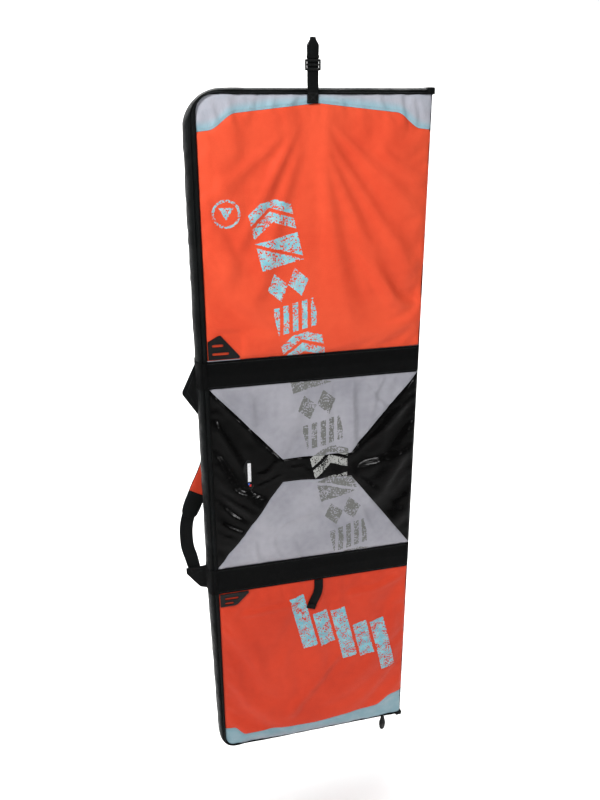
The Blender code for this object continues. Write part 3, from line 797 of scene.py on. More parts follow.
def strip_mask(x, y):
    """The slanted strip of geometric blocks: chevrons, cut blocks, diamonds and stripes in turn."""
    along, across = turned(x, y, PRINT_START, PRINT_TURN)
    along, across = along / PRINT_PITCH, across / PRINT_HALF
    cell = (along / 4.0).part() * 4.0
    a, b = cell.part(), across.size()
    kind = cell - a
    middle = (a - 0.46).size()
    chevron = (a - 0.02 - 0.36 * b).size().under(0.15)
    chevrons = chevron.greater((a - 0.44 - 0.36 * b).size().under(0.15))
    slit = (a - 0.46 - 0.34 * across).size().under(0.055)
    block = (middle.under(0.40) - slit).over(0.0)
    diamonds = (middle * 2.3 + (b - 0.5).size() * 2.0).under(0.98)
    stripes = middle.under(0.42) * (across * 2.2 + a * 0.8).part().under(0.60)
    shapes = chevrons * kind.under(0.5) + stripes * kind.over(2.5)
    shapes = shapes + block * kind.over(0.5) * kind.under(1.5)
    shapes = shapes + diamonds * kind.over(1.5) * kind.under(2.5)
    return shapes * b.under(1.0) * along.over(0.0) * along.under(PRINT_SHAPES)


def ring_mask(x, y):
    """A ring with a wedge in it."""
    dx, dy = x - RING_MIDDLE[0], y - RING_MIDDLE[1]
    ring = ((dx * dx + dy * dy).root() - RING_RADIUS).size().under(RING_HALF)
    return ring + (dx.size() * 1.7 + dy).under(WEDGE) * dy.over(-WEDGE)


def bars_mask(x, y):
    mask = None
    for k in range(BAR_COUNT):
        middle = (BAR_START[0] + BAR_STEP[0] * k, BAR_START[1] + BAR_STEP[1] * k)
        along, across = turned(x, y, middle, PRINT_TURN)
        along = along.size() - BAR_HALVES[1 + k % 2]
        one = (across.size() - BAR_HALVES[0]).greater(along).under(0.0)
        mask = one if mask is None else mask.greater(one)
    return mask


def strip_and_ring_mask(x, y):
    return strip_mask(x, y) + ring_mask(x, y)


def worn_print(paint, shapes=strip_mask):
    """A mask of the printed shapes on this panel, broken up as an old screen print is."""
    x = paint.x + (paint.noise(190) - 0.5) * RAGGED
    y = paint.y * -1.0 + (paint.noise(170) - 0.5) * RAGGED
    wear = (paint.noise(240, 3, 0.55) + paint.noise(45, 2) * 0.5).under(0.80)
    return shapes(x, y).lesser(1.0) * wear


def orange_paint(name, low, high, ink, shapes):
    """Polyester with a print; low and high are its colours in a weave's hollows and on its threads."""
    paint = Paint(name)
    drift = paint.noise(5) + paint.noise(46, 4) * 0.35
    thread = paint.x.wave(0.0021) * paint.y.wave(0.0021) * 0.5 + 0.5
    tone = drift.step(0.35, 0.95) * 0.5 + thread * 0.35 + (paint.noise(520, 2) - 0.3) * 0.7
    mask = worn_print(paint, shapes)
    colour = paint.mix(mask, paint.mix(tone, low, high), paint.blotch(60, 3, 0.3, 0.7, *ink))
    bump = paint.weave(0.0021) * 0.28 + paint.noise(38, 4) * 1.3 + mask * 0.25
    return paint.finish(
        colour, paint.mottle(30, 3, 0.16, 0.50) + mask * -0.10, bump, 0.0005, Sheen_Weight=0.10,
        Sheen_Roughness=0.45, Sheen_Tint=(1.0, 0.45, 0.3, 1.0), Specular_IOR_Level=0.18,
    )


def trim_paint(name, rim, inner, top=True):
    """Coated grey-blue cloth that turns from one colour at the rim to another at its shaped edge."""
    paint = Paint(name)
    side = (paint.x - CENTRE) / CENTRE

    def moved_in(side, slope, step, start, end):
        return side * slope + side.step(start, end) * step

    if top:
        gap = moved_in(side.size(), *TOP_RISE) + TOP_TRIM + paint.y
    else:
        right = moved_in(side.greater(0.0), *BOTTOM_RISE_RIGHT)
        left = moved_in((side * -1.0).greater(0.0), *BOTTOM_RISE_LEFT)
        gap = (paint.y + right + left) * -1.0 - (HEIGHT - BOTTOM_TRIM)
    fall = (gap * -1.0 + (paint.noise(9, 2) - 0.5) * 0.012).step(-0.024, -0.002)
    mottled = paint.blotch(34, 4, 0.3, 0.75, "8FA6B1", "C9CED6")
    colour = paint.mix(0.22, paint.mix(fall, rim, inner), mottled)
    bump = paint.weave() * 0.12 + paint.noise(42, 4, 0.6, (1, 0.5, 1)) * 3.4
    return paint.finish(colour, paint.mottle(40, 3, 0.2, 0.36), bump, 0.0006, Sheen_Weight=0.15)


def white_paint():
    paint = Paint("silver_white_cloth")
    drift = paint.noise(7) + paint.noise(70, 4) * 0.3
    mask = worn_print(paint)
    colour = paint.mix(mask, paint.mix(drift.step(0.35, 0.95), "91919A", "ADACB4"), "6E6F6C")
    bump = paint.weave() * 0.15 + paint.noise(34, 4) * 1.5
    return paint.finish(
        colour, paint.mottle(36, 3, 0.16, 0.28) + mask * 0.2, bump, 0.0006,
        Metallic=0.12, Sheen_Weight=0.08, Specular_IOR_Level=0.4,
    )


def coated_paint():
    """Thin black cloth with a glossy coating, creased all over, and the print on its waist."""
    paint = Paint("coated_black_cloth")
    waist = paint.x.over(0.215) * paint.x.under(0.345)
    waist = waist * (paint.y * -1.0).over(TIE_TOP) * (paint.y * -1.0).under(TIE_BOTTOM)
    mask = worn_print(paint) * waist
    colour = paint.mix(mask, paint.blotch(12, 3, 0.3, 0.7, "020202", "060606"), "A5A6A3")
    sharp = (paint.noise(20, 2, 0.45, (1.0, 2.2, 1.0)) - 0.5).size() * -2.2
    bump = sharp + paint.noise(60, 1) * 0.2 + paint.weave() * 0.005
    return paint.finish(
        colour, paint.mottle(14, 4, 0.12, 0.12) + mask * 0.3, bump, 0.0009,
        Coat_Weight=0.12, Coat_Roughness=0.09, Specular_IOR_Level=0.05,
    )


def black_cloth_paint(name, dark="050606", light="0F1112", period=0.0022, rough=0.52, gloss=0.14):
    """Coarse matte black nylon with thick threads."""
    paint = Paint(name)
    colour = paint.blotch(16, 4, 0.3, 0.8, dark, light)
    threads = paint.x.wave(period) * paint.y.wave(period) * 0.5
    bump = threads + paint.noise(24, 4) * 3.0 + paint.noise(800, 2) * 0.5
    rough = paint.mottle(60, 3, 0.2, rough)
    return paint.finish(colour, rough, bump, 0.0004, Specular_IOR_Level=gloss)


def webbing_paint(name="webbing", dark="050606", light="121415", gloss=0.12):
    """Ribbed webbing: chevrons across it, and its edges a little fuzzy. U runs along the webbing."""
    paint = Paint(name)
    rib = (paint.x + paint.y.size() * 0.5).wave(0.0024)
    tone = (rib * 0.5 + 0.5) * 0.5 + paint.noise(260) * 0.5
    colour = paint.mix(tone.step(0.25, 0.8), dark, light)
    bump = rib * 0.7 + paint.noise(700) * 0.7
    rough = paint.mottle(90, 2, 0.2, 0.6)
    return paint.finish(colour, rough, bump, 0.0005, Specular_IOR_Level=gloss)


def lining_paint():
    """Thin grey ripstop taffeta: a fine grid in it, and a faint sheen."""
    paint = Paint("lining")
    grid = (paint.x / 0.006).part().under(0.09).greater((paint.y / 0.006).part().under(0.09))
    base = paint.blotch(40, 4, 0.2, 0.8, "4B4E52", "595D61")
    bump = grid * 0.35 + paint.weave(0.0012) * 0.1 + paint.noise(34, 4) * 1.4
    colour = paint.mix(grid * 0.5, base, "787C80")
    return paint.finish(colour, paint.mottle(30, 3, 0.2, 0.38), bump, 0.0006, Sheen_Weight=0.2)


def pad_paint():
    """Orange cloth over the shoulder pad, with air mesh's fine dimples."""
    paint = Paint("pad_cloth")
    cell = (paint.x.wave(0.0038) * paint.y.wave(0.0038)).size()
    colour = paint.mix(cell.step(0.2, 0.9), "B52F16", "E24A28")
    bump = cell * 0.8 + paint.noise(40, 4) * 2.0
    rough = paint.mottle(50, 3, 0.15, 0.62)
    return paint.finish(colour, rough, bump, 0.0005, Sheen_Weight=0.08, Specular_IOR_Level=0.2)


def metal_paint():
    """Black enamel worn to bare metal on its raised parts."""
    paint = Paint("slider_metal", by_uv=False)
    worn = paint.noise(420, 4, 0.6).step(0.60, 0.68)
    colour = paint.mix(worn, "121314", "8A8C90")
    return paint.finish(colour, worn * -0.1 + 0.42, paint.noise(300), 0.00015, Metallic=0.75)


def hard_paint(name, blotches, rough, bumps, depth, **constants):
    """A hard material: blotches of two colours, one roughness or mottled, and bumps from noise."""
    paint = Paint(name, by_uv=False)
    rough = rough if isinstance(rough, float) else paint.mottle(*rough)
    bump = paint.noise(*bumps[0][:2]) * bumps[0][2]
    for scale, detail, height in bumps[1:]:
        bump = bump + paint.noise(scale, detail) * height
    return paint.finish(paint.blotch(*blotches), rough, bump, depth, **constants)


def thread_paint(name, dark, light):
    blotches = (900, 2, 0.3, 0.7, dark, light)
    return hard_paint(name, blotches, 0.6, ((2500, 2, 1.0),), 0.0001, Sheen_Weight=0.2)


def enamel_paint(name, dark, light):
    blotches = (300, 3, 0.3, 0.7, dark, light)
    return hard_paint(name, blotches, (400, 2, 0.1, 0.35), ((1200, 2, 1.0),), 0.0001)


ORANGE_UPPER = orange_paint(
    "orange_cloth_upper", "D73D22", "F35B38", ("79C6D6", "A4D6DE"), strip_and_ring_mask
)
# The lower panel's orange and its ink are the upper's made darker: painted shade, for light that falls
# off down the bag
ORANGE_LOWER_SHADED = orange_paint(
    "orange_cloth_lower_painted_shade", "BE331D", "DF4528", ("6DB5C6", "8CCAD4"), bars_mask
)
TRIM_TOP = trim_paint("grey_blue_cloth_top", "B0AFBA", "88B9C8")
TRIM_BOTTOM = trim_paint("grey_blue_cloth_bottom", "7C8994", "709AA6", top=False)
WHITE = white_paint()
COATED = coated_paint()
BACK_CLOTH = black_cloth_paint("back_cloth")
GUSSET = black_cloth_paint("gusset_cloth", "030505", "0A0E0F", 0.0016, 0.40, 0.10)
BINDING = black_cloth_paint("binding_tape", "040606", "0D1112", 0.0011, 0.45, 0.10)
BAND = webbing_paint("band_webbing", "030404", "0A0B0C", 0.08)
STRAP = webbing_paint()
RUBBER = hard_paint(
    "rubber", (35, 4, 0.3, 0.75, "060707", "101113"), (120, 3, 0.25, 0.36),
    ((1100, 3, 0.8), (60, 2, 1.0)), 0.00025, Specular_IOR_Level=0.25,
)
PLASTIC = hard_paint(
    "moulded_plastic", (60, 3, 0.3, 0.8, "050606", "0E0F10"), (200, 3, 0.2, 0.3),
    ((1500, 2, 0.5), (90, 2, 1.0)), 0.0002, Specular_IOR_Level=0.22,
)
METAL = metal_paint()
NYLON = hard_paint(
    "zip_nylon", (300, 2, 0.35, 0.7, "0C0D0E", "1C1D1F"), (250, 3, 0.2, 0.35),
    ((900, 2, 1.0),), 0.0002,
)
LINING = lining_paint()
BLACK_THREAD = thread_paint("black_thread", "121415", "26292B")
GREY_THREAD = thread_paint("grey_thread", "8795A0", "B8BFC8")
PAD = pad_paint()
BADGE_WHITE = enamel_paint("badge_white", "D9DADC", "F0F0F2")
BADGE_BLUE = enamel_paint("badge_blue", "1B4FB0", "2A66CC")
BADGE_RED = enamel_paint("badge_red", "B31512", "D8241C")


# ---------------------------------------------------------------- front and back cloth


def columns_between(left, right, *kinks):
    """Places across a panel, with each kink in its edge among them."""
    stops = [left, *kinks, right]
    found = []
    for a, b in zip(stops, stops[1:]):
        found.append(np.linspace(a, b, max(2, round((b - a) / STEP) + 1))[:-1])
    return np.concatenate([*found, [right]])


WHOLE = columns_between(0.0, WIDTH)
KINKED = columns_between(0.0, WIDTH, TIE_LEFT, TIE_RIGHT)
INSET = columns_between(0.003, WIDTH - 0.003, TIE_LEFT, TIE_RIGHT)


def edge_at(edge, us):
    """A panel's edge, from a function or a level."""
    return edge(us) if callable(edge) else np.zeros_like(us) + edge


def seam_dip(gap):
    """How far cloth is drawn in beside a seam, by the distance to it."""
    return 0.0017 * np.exp(-((np.maximum(gap, 0) / 0.0038) ** 2))


def rolled(u, right, deep):
    """How far cloth turns in over the bag's right side."""
    return deep * np.clip(1 - (right - u) / 0.009, 0, 1) ** 2.4


def slope_of(edge, us):
    return 1 / np.sqrt(1 + np.gradient(edge, us) ** 2)


def panel_grid(us, top, low, back, lift, round_right):
    """Points and UVs of a panel between two edges given for each column."""
    rows = max(4, round(float((low - top).max()) / STEP) + 1)
    v = top + (low - top) * np.linspace(0, 1, rows)[:, None]
    u = np.broadcast_to(us, v.shape)
    height = (BACK if back else FRONT).height(u, v)
    to_top = (v - top) * slope_of(top, us)
    to_low = (low - v) * slope_of(low, us)
    pucker = 0.0005 * noise(u * 160, v * 3 + 4.4) + 0.0004 * noise(u * 71 + 9, v * 2)
    for gap in (to_top, to_low, u - us[0]):
        height = height - seam_dip(gap) + pucker * np.exp(-((gap / 0.016) ** 2))
    if round_right:
        height = height - rolled(u, us[-1], 0.0050)
    y = Y_BACK + height + lift if back else Y_FRONT - height - lift
    return spot(u, y, v), np.stack([u, -v], axis=-1)


def panel(name, us, top, low, paint, body, node, slot, back=False, lift=0.0, round_right=True):
    """One cloth panel of the front or back, as a thin sheet."""
    top = edge_at(top, us) + 0.0002
    low = edge_at(low, us) - 0.0002
    grid, uv = panel_grid(us, top, low, back, lift, round_right)
    obj = sheet_object(name, grid, uv, paint, (0, 1 if back else -1, 0))
    settle(obj, body, [node])


def front_panels():
    for row in (
        ("cloth_top_trim", WHOLE, top_edge, top_trim_edge, TRIM_TOP, "lid_top", "top_trim",
         "grey_blue_cloth"),
        ("cloth_front_upper", WHOLE, top_trim_edge, UPPER_FOLD, ORANGE_UPPER, "lid_top",
         "front_panel_upper", "orange_cloth"),
        ("cloth_front_lower", WHOLE, LOWER_FOLD, bottom_trim_edge, ORANGE_LOWER_SHADED, "lid_bottom",
         "front_panel_lower", "orange_cloth"),
        ("cloth_bottom_trim", WHOLE, bottom_trim_edge, bottom_edge, TRIM_BOTTOM, "lid_bottom",
         "bottom_trim", "grey_blue_cloth"),
        ("cloth_black_panel", KINKED, tie_top, tie_low, COATED, "lid_mid", "black_panel",
         "coated_black_cloth"),
    ):
        panel(*row)
    for name, top, low in (("upper", BAND_TOP, tie_top), ("lower", tie_low, BAND_LOW)):
        panel(f"cloth_white_{name}", INSET, top, low, WHITE, "lid_mid", f"white_panel_{name}",
              "silver_white_cloth", lift=0.0004, round_right=False)


def span(section, gap):
    """Where a section starts and ends at the bag's right side, with a gap beside each fold."""
    top, low = SECTIONS[section]
    top = top + (TOP_BORDER if section == "upper" else gap)
    return top, low - (BOTTOM_BORDER if section == "lower" else gap)


def back_panels():
    """The back's black cloth, padded and sewn through in channels."""
    for section, top, low in (
        ("upper", top_edge, UPPER_FOLD - BELLOWS),
        ("middle", UPPER_FOLD, LOWER_FOLD),
        ("lower", LOWER_FOLD + BELLOWS, bottom_edge),
    ):
        body = SECTION_BODY[section]
        panel(f"cloth_back_{section}", WHOLE, top, low, BACK_CLOTH, body, f"back_skin_{section}",
              "back_cloth", back=True)
        places = np.linspace(0.006, WIDTH - 0.008, 160)
        lines = [(BACK.points(places, v, 0.0002), (0, 1, 0)) for v in back_channels(section)]
        stitches(f"stitches_back_{section}", lines, BLACK_THREAD, body, pitch=0.0046, length=0.0033)


def fold_flaps():
    """A hem of black cloth on the middle lid that reaches behind its neighbours at each fold."""
    inside = [(share, depth + 0.0022) for share, depth in GUSSET_PROFILE[2:]][::-1]
    path = [(X_LEFT - share * 0.93 * SIDE, Y_FRONT + depth) for share, depth in inside]
    path += [(x, Y_FRONT + 0.0030) for x in np.linspace(X_LEFT - 0.006, X_RIGHT - 0.004, 40)]
    path = np.array(path)
    for name, first, last in (
        ("upper", UPPER_FOLD - 0.007, UPPER_FOLD + 0.005),
        ("lower", LOWER_FOLD - 0.005, LOWER_FOLD + 0.007),
    ):
        vs = np.linspace(first, last, 5)
        grid = np.array([[(x, y, Z_TOP - v) for x, y in path] for v in vs])
        uv = np.stack(np.meshgrid(lengths(path), -vs), axis=-1)
        flap = sheet_object(f"fold_flap_{name}", grid, uv, GUSSET, (0, -1, 0), 0.0008)
        settle(flap, "lid_mid")


def hinge_tapes():
    """Black tape inside each lid's right edge, over the raw edge of the front cloth."""
    profile = [(-0.0060, 0.0052), (-0.0030, 0.0066), (-0.0010, 0.0074), (0.0003, 0.0074),
               (0.0009, 0.0060)]
    for section in SECTIONS:
        top, low = span(section, 0.0002)
        vs = np.linspace(top, low, round((low - top) / 0.008))
        grid = np.array([[(X_RIGHT + x, Y_FRONT + y, Z_TOP - v) for x, y in profile] for v in vs])
        uv = np.stack(np.meshgrid([x for x, _ in profile], -vs), axis=-1)
        tape = sheet_object(f"hinge_tape_{section}", grid, uv, BINDING, (0, 1, 0), 0.0006)
        settle(tape, LID_BODY[section])


def linings():
    """Thin grey cloth over the foam, inside the front and inside the back."""
    us = np.linspace(0.0012, WIDTH - 0.0015, 90)
    y_faces = (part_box("front_lining_middle")[1].y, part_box("back_lining_middle")[0].y)
    limits = {
        "upper": (top_edge, UPPER_FOLD), "middle": SECTIONS["middle"], "lower": (LOWER_FOLD, bottom_edge)
    }
    for section, edges in limits.items():
        for (side, bodies), y_face, inward in zip(SIDES, y_faces, (1, -1)):
            top, low = edge_at(edges[0], us) + 0.0012, edge_at(edges[1], us) - 0.0012
            if side == "back":
                low = low - (BELLOWS if section == "upper" else 0.0)
                top = top + (BELLOWS if section == "lower" else 0.0)
            rows = round(float((low - top).max()) / 0.006)
            v = top + (low - top) * np.linspace(0, 1, rows)[:, None]
            u = np.broadcast_to(us, v.shape)
            # Every section's lining is cut from one simulated cloth, turned over for the front's
            across = WIDTH - u if side == "front" else u
            tall = 1.1 * INSIDE.height(across, (v - top) * LINING_TALL / (low - top))
            margin = np.minimum(np.minimum(u - us[0], us[-1] - u), np.minimum(v - top, low - v))
            tall = np.maximum(tall + 0.0030, 0.0003) * smooth(0, 0.012, margin)
            grid = spot(u, y_face + inward * tall, v)
            # The cloth turns over the foam's edge at its ends
            hem = np.array([0.0, -inward * 0.0058, 0.0])
            grid = np.concatenate([grid[:1] + hem, grid, grid[-1:] + hem])
            uv = np.stack([u, -v], axis=-1)
            uv = np.concatenate([uv[:1], uv, uv[-1:]])
            obj = sheet_object(f"lining_{side}_{section}", grid, uv, LINING, (0, inward, 0), 0.0006)
            nodes = (f"{side}_lining_{section}", f"{side}_foam_{section}")
            settle(obj, bodies[section], nodes)


# ---------------------------------------------------------------- border, zip and spine


def rail(section, spacing=0.006):
    """Inner and outer places along a section's border, in (u, v), from the right end or the top."""

    def straight(start, end):
        start, end = np.array(start, float), np.array(end, float)
        count = max(2, round(math.dist(start[0], end[0]) / spacing))
        return [start + (end - start) * k / count for k in range(count)]

    fold = {"upper": UPPER_FOLD - SEAM, "middle": LOWER_FOLD - SEAM, "lower": LOWER_FOLD + SEAM}[section]
    end = ((0, fold), (-SIDE, fold))
    if section == "middle":
        pairs = straight(((0, UPPER_FOLD + SEAM), (-SIDE, UPPER_FOLD + SEAM)), end)
    else:
        if section == "upper":
            start = ((WIDTH, TOP_BORDER), (WIDTH, 0))
            centres = ((INNER_TOP_RADIUS, TOP_BORDER + INNER_TOP_RADIUS),
                       (OUTER_TOP_RADIUS - SIDE, OUTER_TOP_RADIUS))
            radii, first = (INNER_TOP_RADIUS, OUTER_TOP_RADIUS), 90
        else:
            start = ((WIDTH, HEIGHT - BOTTOM_BORDER), (WIDTH, HEIGHT))
            centres = ((INNER_BOTTOM_RADIUS, HEIGHT - BOTTOM_BORDER - INNER_BOTTOM_RADIUS),
                       (OUTER_BOTTOM_RADIUS - LOWER_CORNER_BORDER, HEIGHT - OUTER_BOTTOM_RADIUS))
            radii, first = (INNER_BOTTOM_RADIUS, OUTER_BOTTOM_RADIUS), 270
        turn = []
        for angle in np.radians(np.linspace(first, 180, 25)):
            way = np.array([math.cos(angle), -math.sin(angle)])
            turn.append(np.array(centres) + np.outer(radii, way))
        pairs = straight(start, turn[0]) + turn[:-1] + straight(turn[-1], end)
    pairs = np.array([*pairs, end], float)
    return pairs[:, 0], pairs[:, 1]


# The border's section: share of its width, depth behind the face
BINDING_PROFILE = [
    (-0.12, 0.0030), (-0.09, 0.0000), (0.00, -0.0026), (0.14, -0.0038), (0.27, -0.0030),
    (0.36, -0.0006), (0.40, 0.0012),
]
GUSSET_PROFILE = [
    (0.30, 0.0020), (0.40, -0.0004), (0.55, -0.0010), (0.70, 0.0004), (0.84, 0.0040),
    (0.95, 0.0098), (1.01, 0.0160), (1.02, 0.0215), (0.99, 0.0248), (0.94, 0.0264),
]
# A band's way round the border
BAND_ROUND_BORDER = [
    (0.00, -0.0036), (0.14, -0.0052), (0.30, -0.0046), (0.45, -0.0030), (0.60, -0.0027),
    (0.75, -0.0010), (0.88, 0.0030), (0.99, 0.0085), (1.08, 0.0150), (1.10, 0.0205),
    (1.07, 0.0246),
]


def outward_of(way, shape, y):
    """Which way is out, for a grid along the border."""
    outward = np.zeros(shape)
    outward[..., 0] = way[:, None, 0]
    outward[..., 1] = y
    outward[..., 2] = -way[:, None, 1]
    return outward


def border_grid(section, profile, from_back, wander):
    inner, outer = rail(section)
    shape = curve_through(profile, 3)
    along = lengths(outer)
    seed = 3.7 * list(SECTIONS).index(section) + (50 if from_back else 0)
    share = shape[:, 0][None, :]
    depth = np.broadcast_to(shape[:, 1], (len(inner), len(shape))).copy()
    loose = np.clip((share - 0.35) / 0.4, 0, 1) * smooth(0, 0.01, 0.024 - depth)
    slow = noise(along * 17 + seed, along * 0 + seed)[:, None]
    quick = noise(along * 60 + seed, along * 0 + seed + 9)[:, None]
    depth = depth - wander * loose * (slow + 0.45 * quick)
    spread = share + 0.05 * loose * quick
    place = inner[:, None] + spread[..., None] * (outer - inner)[:, None]
    if section == "upper" and not from_back:
        under_strap = 1 - smooth(0.012, 0.024, np.abs(X_LEFT + place[..., 0]))
        depth = np.where(depth < 0, depth * (1 - 0.65 * under_strap), depth)
    grid = spot(place[..., 0], Y_BACK - depth if from_back else Y_FRONT + depth, place[..., 1])
    outward = outward_of(unit(outer - inner), grid.shape, 0.6 if from_back else -0.6)
    steps = np.linalg.norm(np.diff(grid, axis=1), axis=-1).mean(0)
    uv = np.stack(np.meshgrid(np.concatenate([[0], np.cumsum(steps)]), along), axis=-1)
    return grid, uv, outward


def capped(grid, uv, outward):
    """Adds rows that round off the border's first end, at the bag's right side."""
    middle = grid[0].mean(axis=0)
    cap = ((0.0034, 0.35), (0.0031, 0.72), (0.0020, 0.93))
    first = [middle + (grid[0] - middle) * share + np.array([reach, 0, 0]) for reach, share in cap]
    more = [np.repeat(rows[:1], len(cap), axis=0) for rows in (uv, outward)]
    return np.concatenate([first, grid]), *(np.concatenate(p) for p in zip(more, (uv, outward)))


def borders():
    """Binding tape and the bulging gusset, on the lids and on the back's sections."""
    for side, bodies in SIDES:
        for section, body in bodies.items():
            for part, profile, paint, wander, nodes in (
                ("binding", BINDING_PROFILE, BINDING, 0.0005, ()),
                ("gusset", GUSSET_PROFILE, GUSSET, 0.0016, [f"{side}_gusset_{section}"]),
            ):
                found = border_grid(section, profile, side == "back", wander)
                if section != "middle":
                    found = capped(*found)
                grid, uv, outward = found
                obj = sheet_object(f"{part}_{side}_{section}", grid, uv, paint, outward, 0.0009)
                settle(obj, body, nodes)
            zip_half(side, section, body)


def end_tabs():
    """Folded tabs of cloth sewn over the border's two ends, where the zip stops."""
    depths = ((Y_FRONT - 0.0030, Y_ZIP - 0.0006), (Y_ZIP + 0.0006, Y_BACK + 0.0012))
    for (side, bodies), (y0, y1) in zip(SIDES, depths):
        for section, v0, v1 in (
            ("upper", -0.0016, TOP_BORDER + 0.0010),
            ("lower", HEIGHT - BOTTOM_BORDER - 0.0010, HEIGHT + 0.0016),
        ):
            low = (X_RIGHT - 0.015, y0, Z_TOP - v1)
            high = (X_RIGHT + 0.0038, y1, Z_TOP - v0)
            tab = rounded_block(low, high, 0.0034, BINDING, f"end_tab_{side}_{section}", with_uv=True)
            settle(tab, bodies[section])


TOOTH_PITCH = 0.0026


def zip_half(side, section, body):
    """One side's tape and interlocking coil teeth."""
    inner, outer = rail(section, 0.010)
    way = unit(outer - inner)
    sign = -1 if side == "front" else 1
    middle = outer - way * 0.0012
    line = spot(middle[:, 0], Y_ZIP, middle[:, 1])
    along = lengths(line)
    count = int((along[-1] - 0.002) / TOOTH_PITCH)
    places = 0.001 + (np.arange(count) + (0.25 if side == "front" else 0.75)) * TOOTH_PITCH
    at = np.stack([np.interp(places, along, line[:, k]) for k in range(3)], axis=-1)
    out = unit(np.stack([np.interp(places, along, c) for c in (way[:, 0], -way[:, 1])], axis=-1))
    points, faces = [], []
    box = grid_closed(2, 4)
    for (x, y, z), (ox, oz) in zip(at, out):
        start = len(points)
        for depth, grow in ((-0.0008, 0.8), (0.0024, 1.0)):
            for a, b in ((-1, -1), (1, -1), (1, 1), (-1, 1)):
                shift = a * 0.00062 * grow
                lift = 0.0004 + b * 0.0009 * grow
                points.append((x + ox * lift + oz * shift, y + sign * depth, z + oz * lift - ox * shift))
        faces += [[start + k for k in face] for face in box]
    rows = []
    for depth, lift in ((0.0006, -0.0006), (0.0022, -0.0008), (0.0040, -0.0014), (0.0052, -0.0026)):
        edge = middle + way * lift
        rows.append(spot(edge[:, 0], Y_ZIP + sign * depth, edge[:, 1]))
    grid = np.stack(rows, axis=1)
    uv = np.stack([grid[..., 1], np.repeat(along[:, None], len(rows), 1)], axis=-1)
    outward = outward_of(way, grid.shape, 0)
    tape = sheet_object(f"zip_tape_{side}_{section}", grid, uv, BINDING, outward, 0.0005)
    settle(tape, body)
    teeth = make_object(f"zip_teeth_{side}_{section}", points, faces, NYLON)
    settle(teeth, body, [f"{side}_zip_tape_{section}"])


def spine():
    """The plain right side, and the strips that its front edge and each lid turn on."""
    y_hinge, y_lid = Y_FRONT + 0.0085, Y_FRONT + 0.0016
    for section, body in SECTION_BODY.items():
        top, low = span(section, SEAM)
        v = np.linspace(top, low, round((low - top) / 0.007))[:, None]
        s = np.linspace(0, 1, 14)[None, :]
        ends = smooth(0, 0.03, v - top) * smooth(0, 0.03, low - v)
        bulge = 0.0042 * np.sin(np.pi * s) ** 0.7 * (0.35 + 0.65 * ends)
        wrinkle = 0.0011 * noise(s * 2 + 5.5, v * 42) + 0.0005 * noise(s * 5, v * 110)
        x = X_RIGHT - 0.0026 + bulge + wrinkle * np.sin(np.pi * s)
        grid = spot(x - X_LEFT, y_hinge + (Y_BACK - 0.0012 - y_hinge) * s, v)
        uv = np.stack(np.broadcast_arrays(grid[..., 1], -v), axis=-1)
        obj = sheet_object(f"spine_cloth_{section}", grid, uv, GUSSET, (1, 0, 0))
        settle(obj, body, [f"spine_{section}"])
        # A strip of the same cloth joins it to the lid
        s = np.linspace(0, 1, 7)[None, :]
        y = y_hinge + 0.0008 + (y_lid - y_hinge - 0.0008) * s
        grid = spot(X_RIGHT - 0.0030 + 0.0022 * np.sin(np.pi * s) - X_LEFT, y, v)
        uv = np.stack(np.broadcast_arrays(grid[..., 1], -v), axis=-1)
        strip = sheet_object(f"spine_hinge_{section}", grid, uv, GUSSET, (1, 0, 0))
        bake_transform(strip)
        settle(strip)


PLEATS = 6


def bellows():
    """Pleated cloth over the back of each fold and inside its two sides."""
    inset = 0.0045
    path = [(X_OUT + inset, Y_ZIP + 0.002)]
    path += [(X_OUT + inset, y) for y in np.linspace(Y_ZIP + 0.004, Y_BACK - 0.010, 6)]
    path += [(X_OUT + 0.010, Y_BACK - 0.004), (X_LEFT - 0.006, Y_BACK - 0.0015)]
    path += [(x, Y_BACK) for x in np.linspace(X_LEFT + 0.002, X_RIGHT - 0.008, 70)]
    path += [(X_RIGHT - inset, Y_BACK - 0.004)]
    path += [(X_RIGHT - inset, y) for y in np.linspace(Y_BACK - 0.010, Y_FRONT + 0.012, 9)]
    path = np.array(path)
    ways = unit(np.gradient(path, axis=0))
    inward = np.stack([ways[:, 1], -ways[:, 0]], axis=-1)
    around = lengths(path)
    t = np.linspace(0, 1, PLEATS * 8 + 1)
    for name, top, low, first, last, depth in (
        ("upper", UPPER_FOLD - BELLOWS - 0.003, UPPER_FOLD + 0.003, "top_section", "mid_section",
         0.0090),
        ("lower", LOWER_FOLD - 0.003, LOWER_FOLD + BELLOWS + 0.003, "mid_section",
         "bottom_section", 0.0100),
    ):
        fold_in = depth * (0.5 - 0.5 * np.cos(2 * math.pi * PLEATS * t)) ** 0.8
        v = top + (low - top) * t
        wobble = 1 + 0.10 * noise(around[None, :] * 25, t[:, None] * PLEATS + 3)
        flat = path[None] + inward[None] * (fold_in[:, None] * wobble)[..., None]
        sag = 0.0008 * noise(around[None, :] * 18 + 7, t[:, None] * PLEATS * 2)
        z = Z_TOP - v[:, None] + sag * smooth(0, 0.1, t[:, None]) * smooth(0, 0.1, 1 - t[:, None])
        grid = np.stack([flat[..., 0], flat[..., 1], z], axis=-1)
        uv = np.stack(np.meshgrid(around, lengths(np.stack([fold_in, v], axis=-1))), axis=-1)
        outward = np.broadcast_to(np.append(-inward, np.zeros((len(path), 1)), 1), grid.shape)
        obj = sheet_object(f"bellows_{name}", grid, uv, GUSSET, outward, 0.0007)
        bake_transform(obj)
        settle(obj)


# ---------------------------------------------------------------- bands, wings and carrying strap


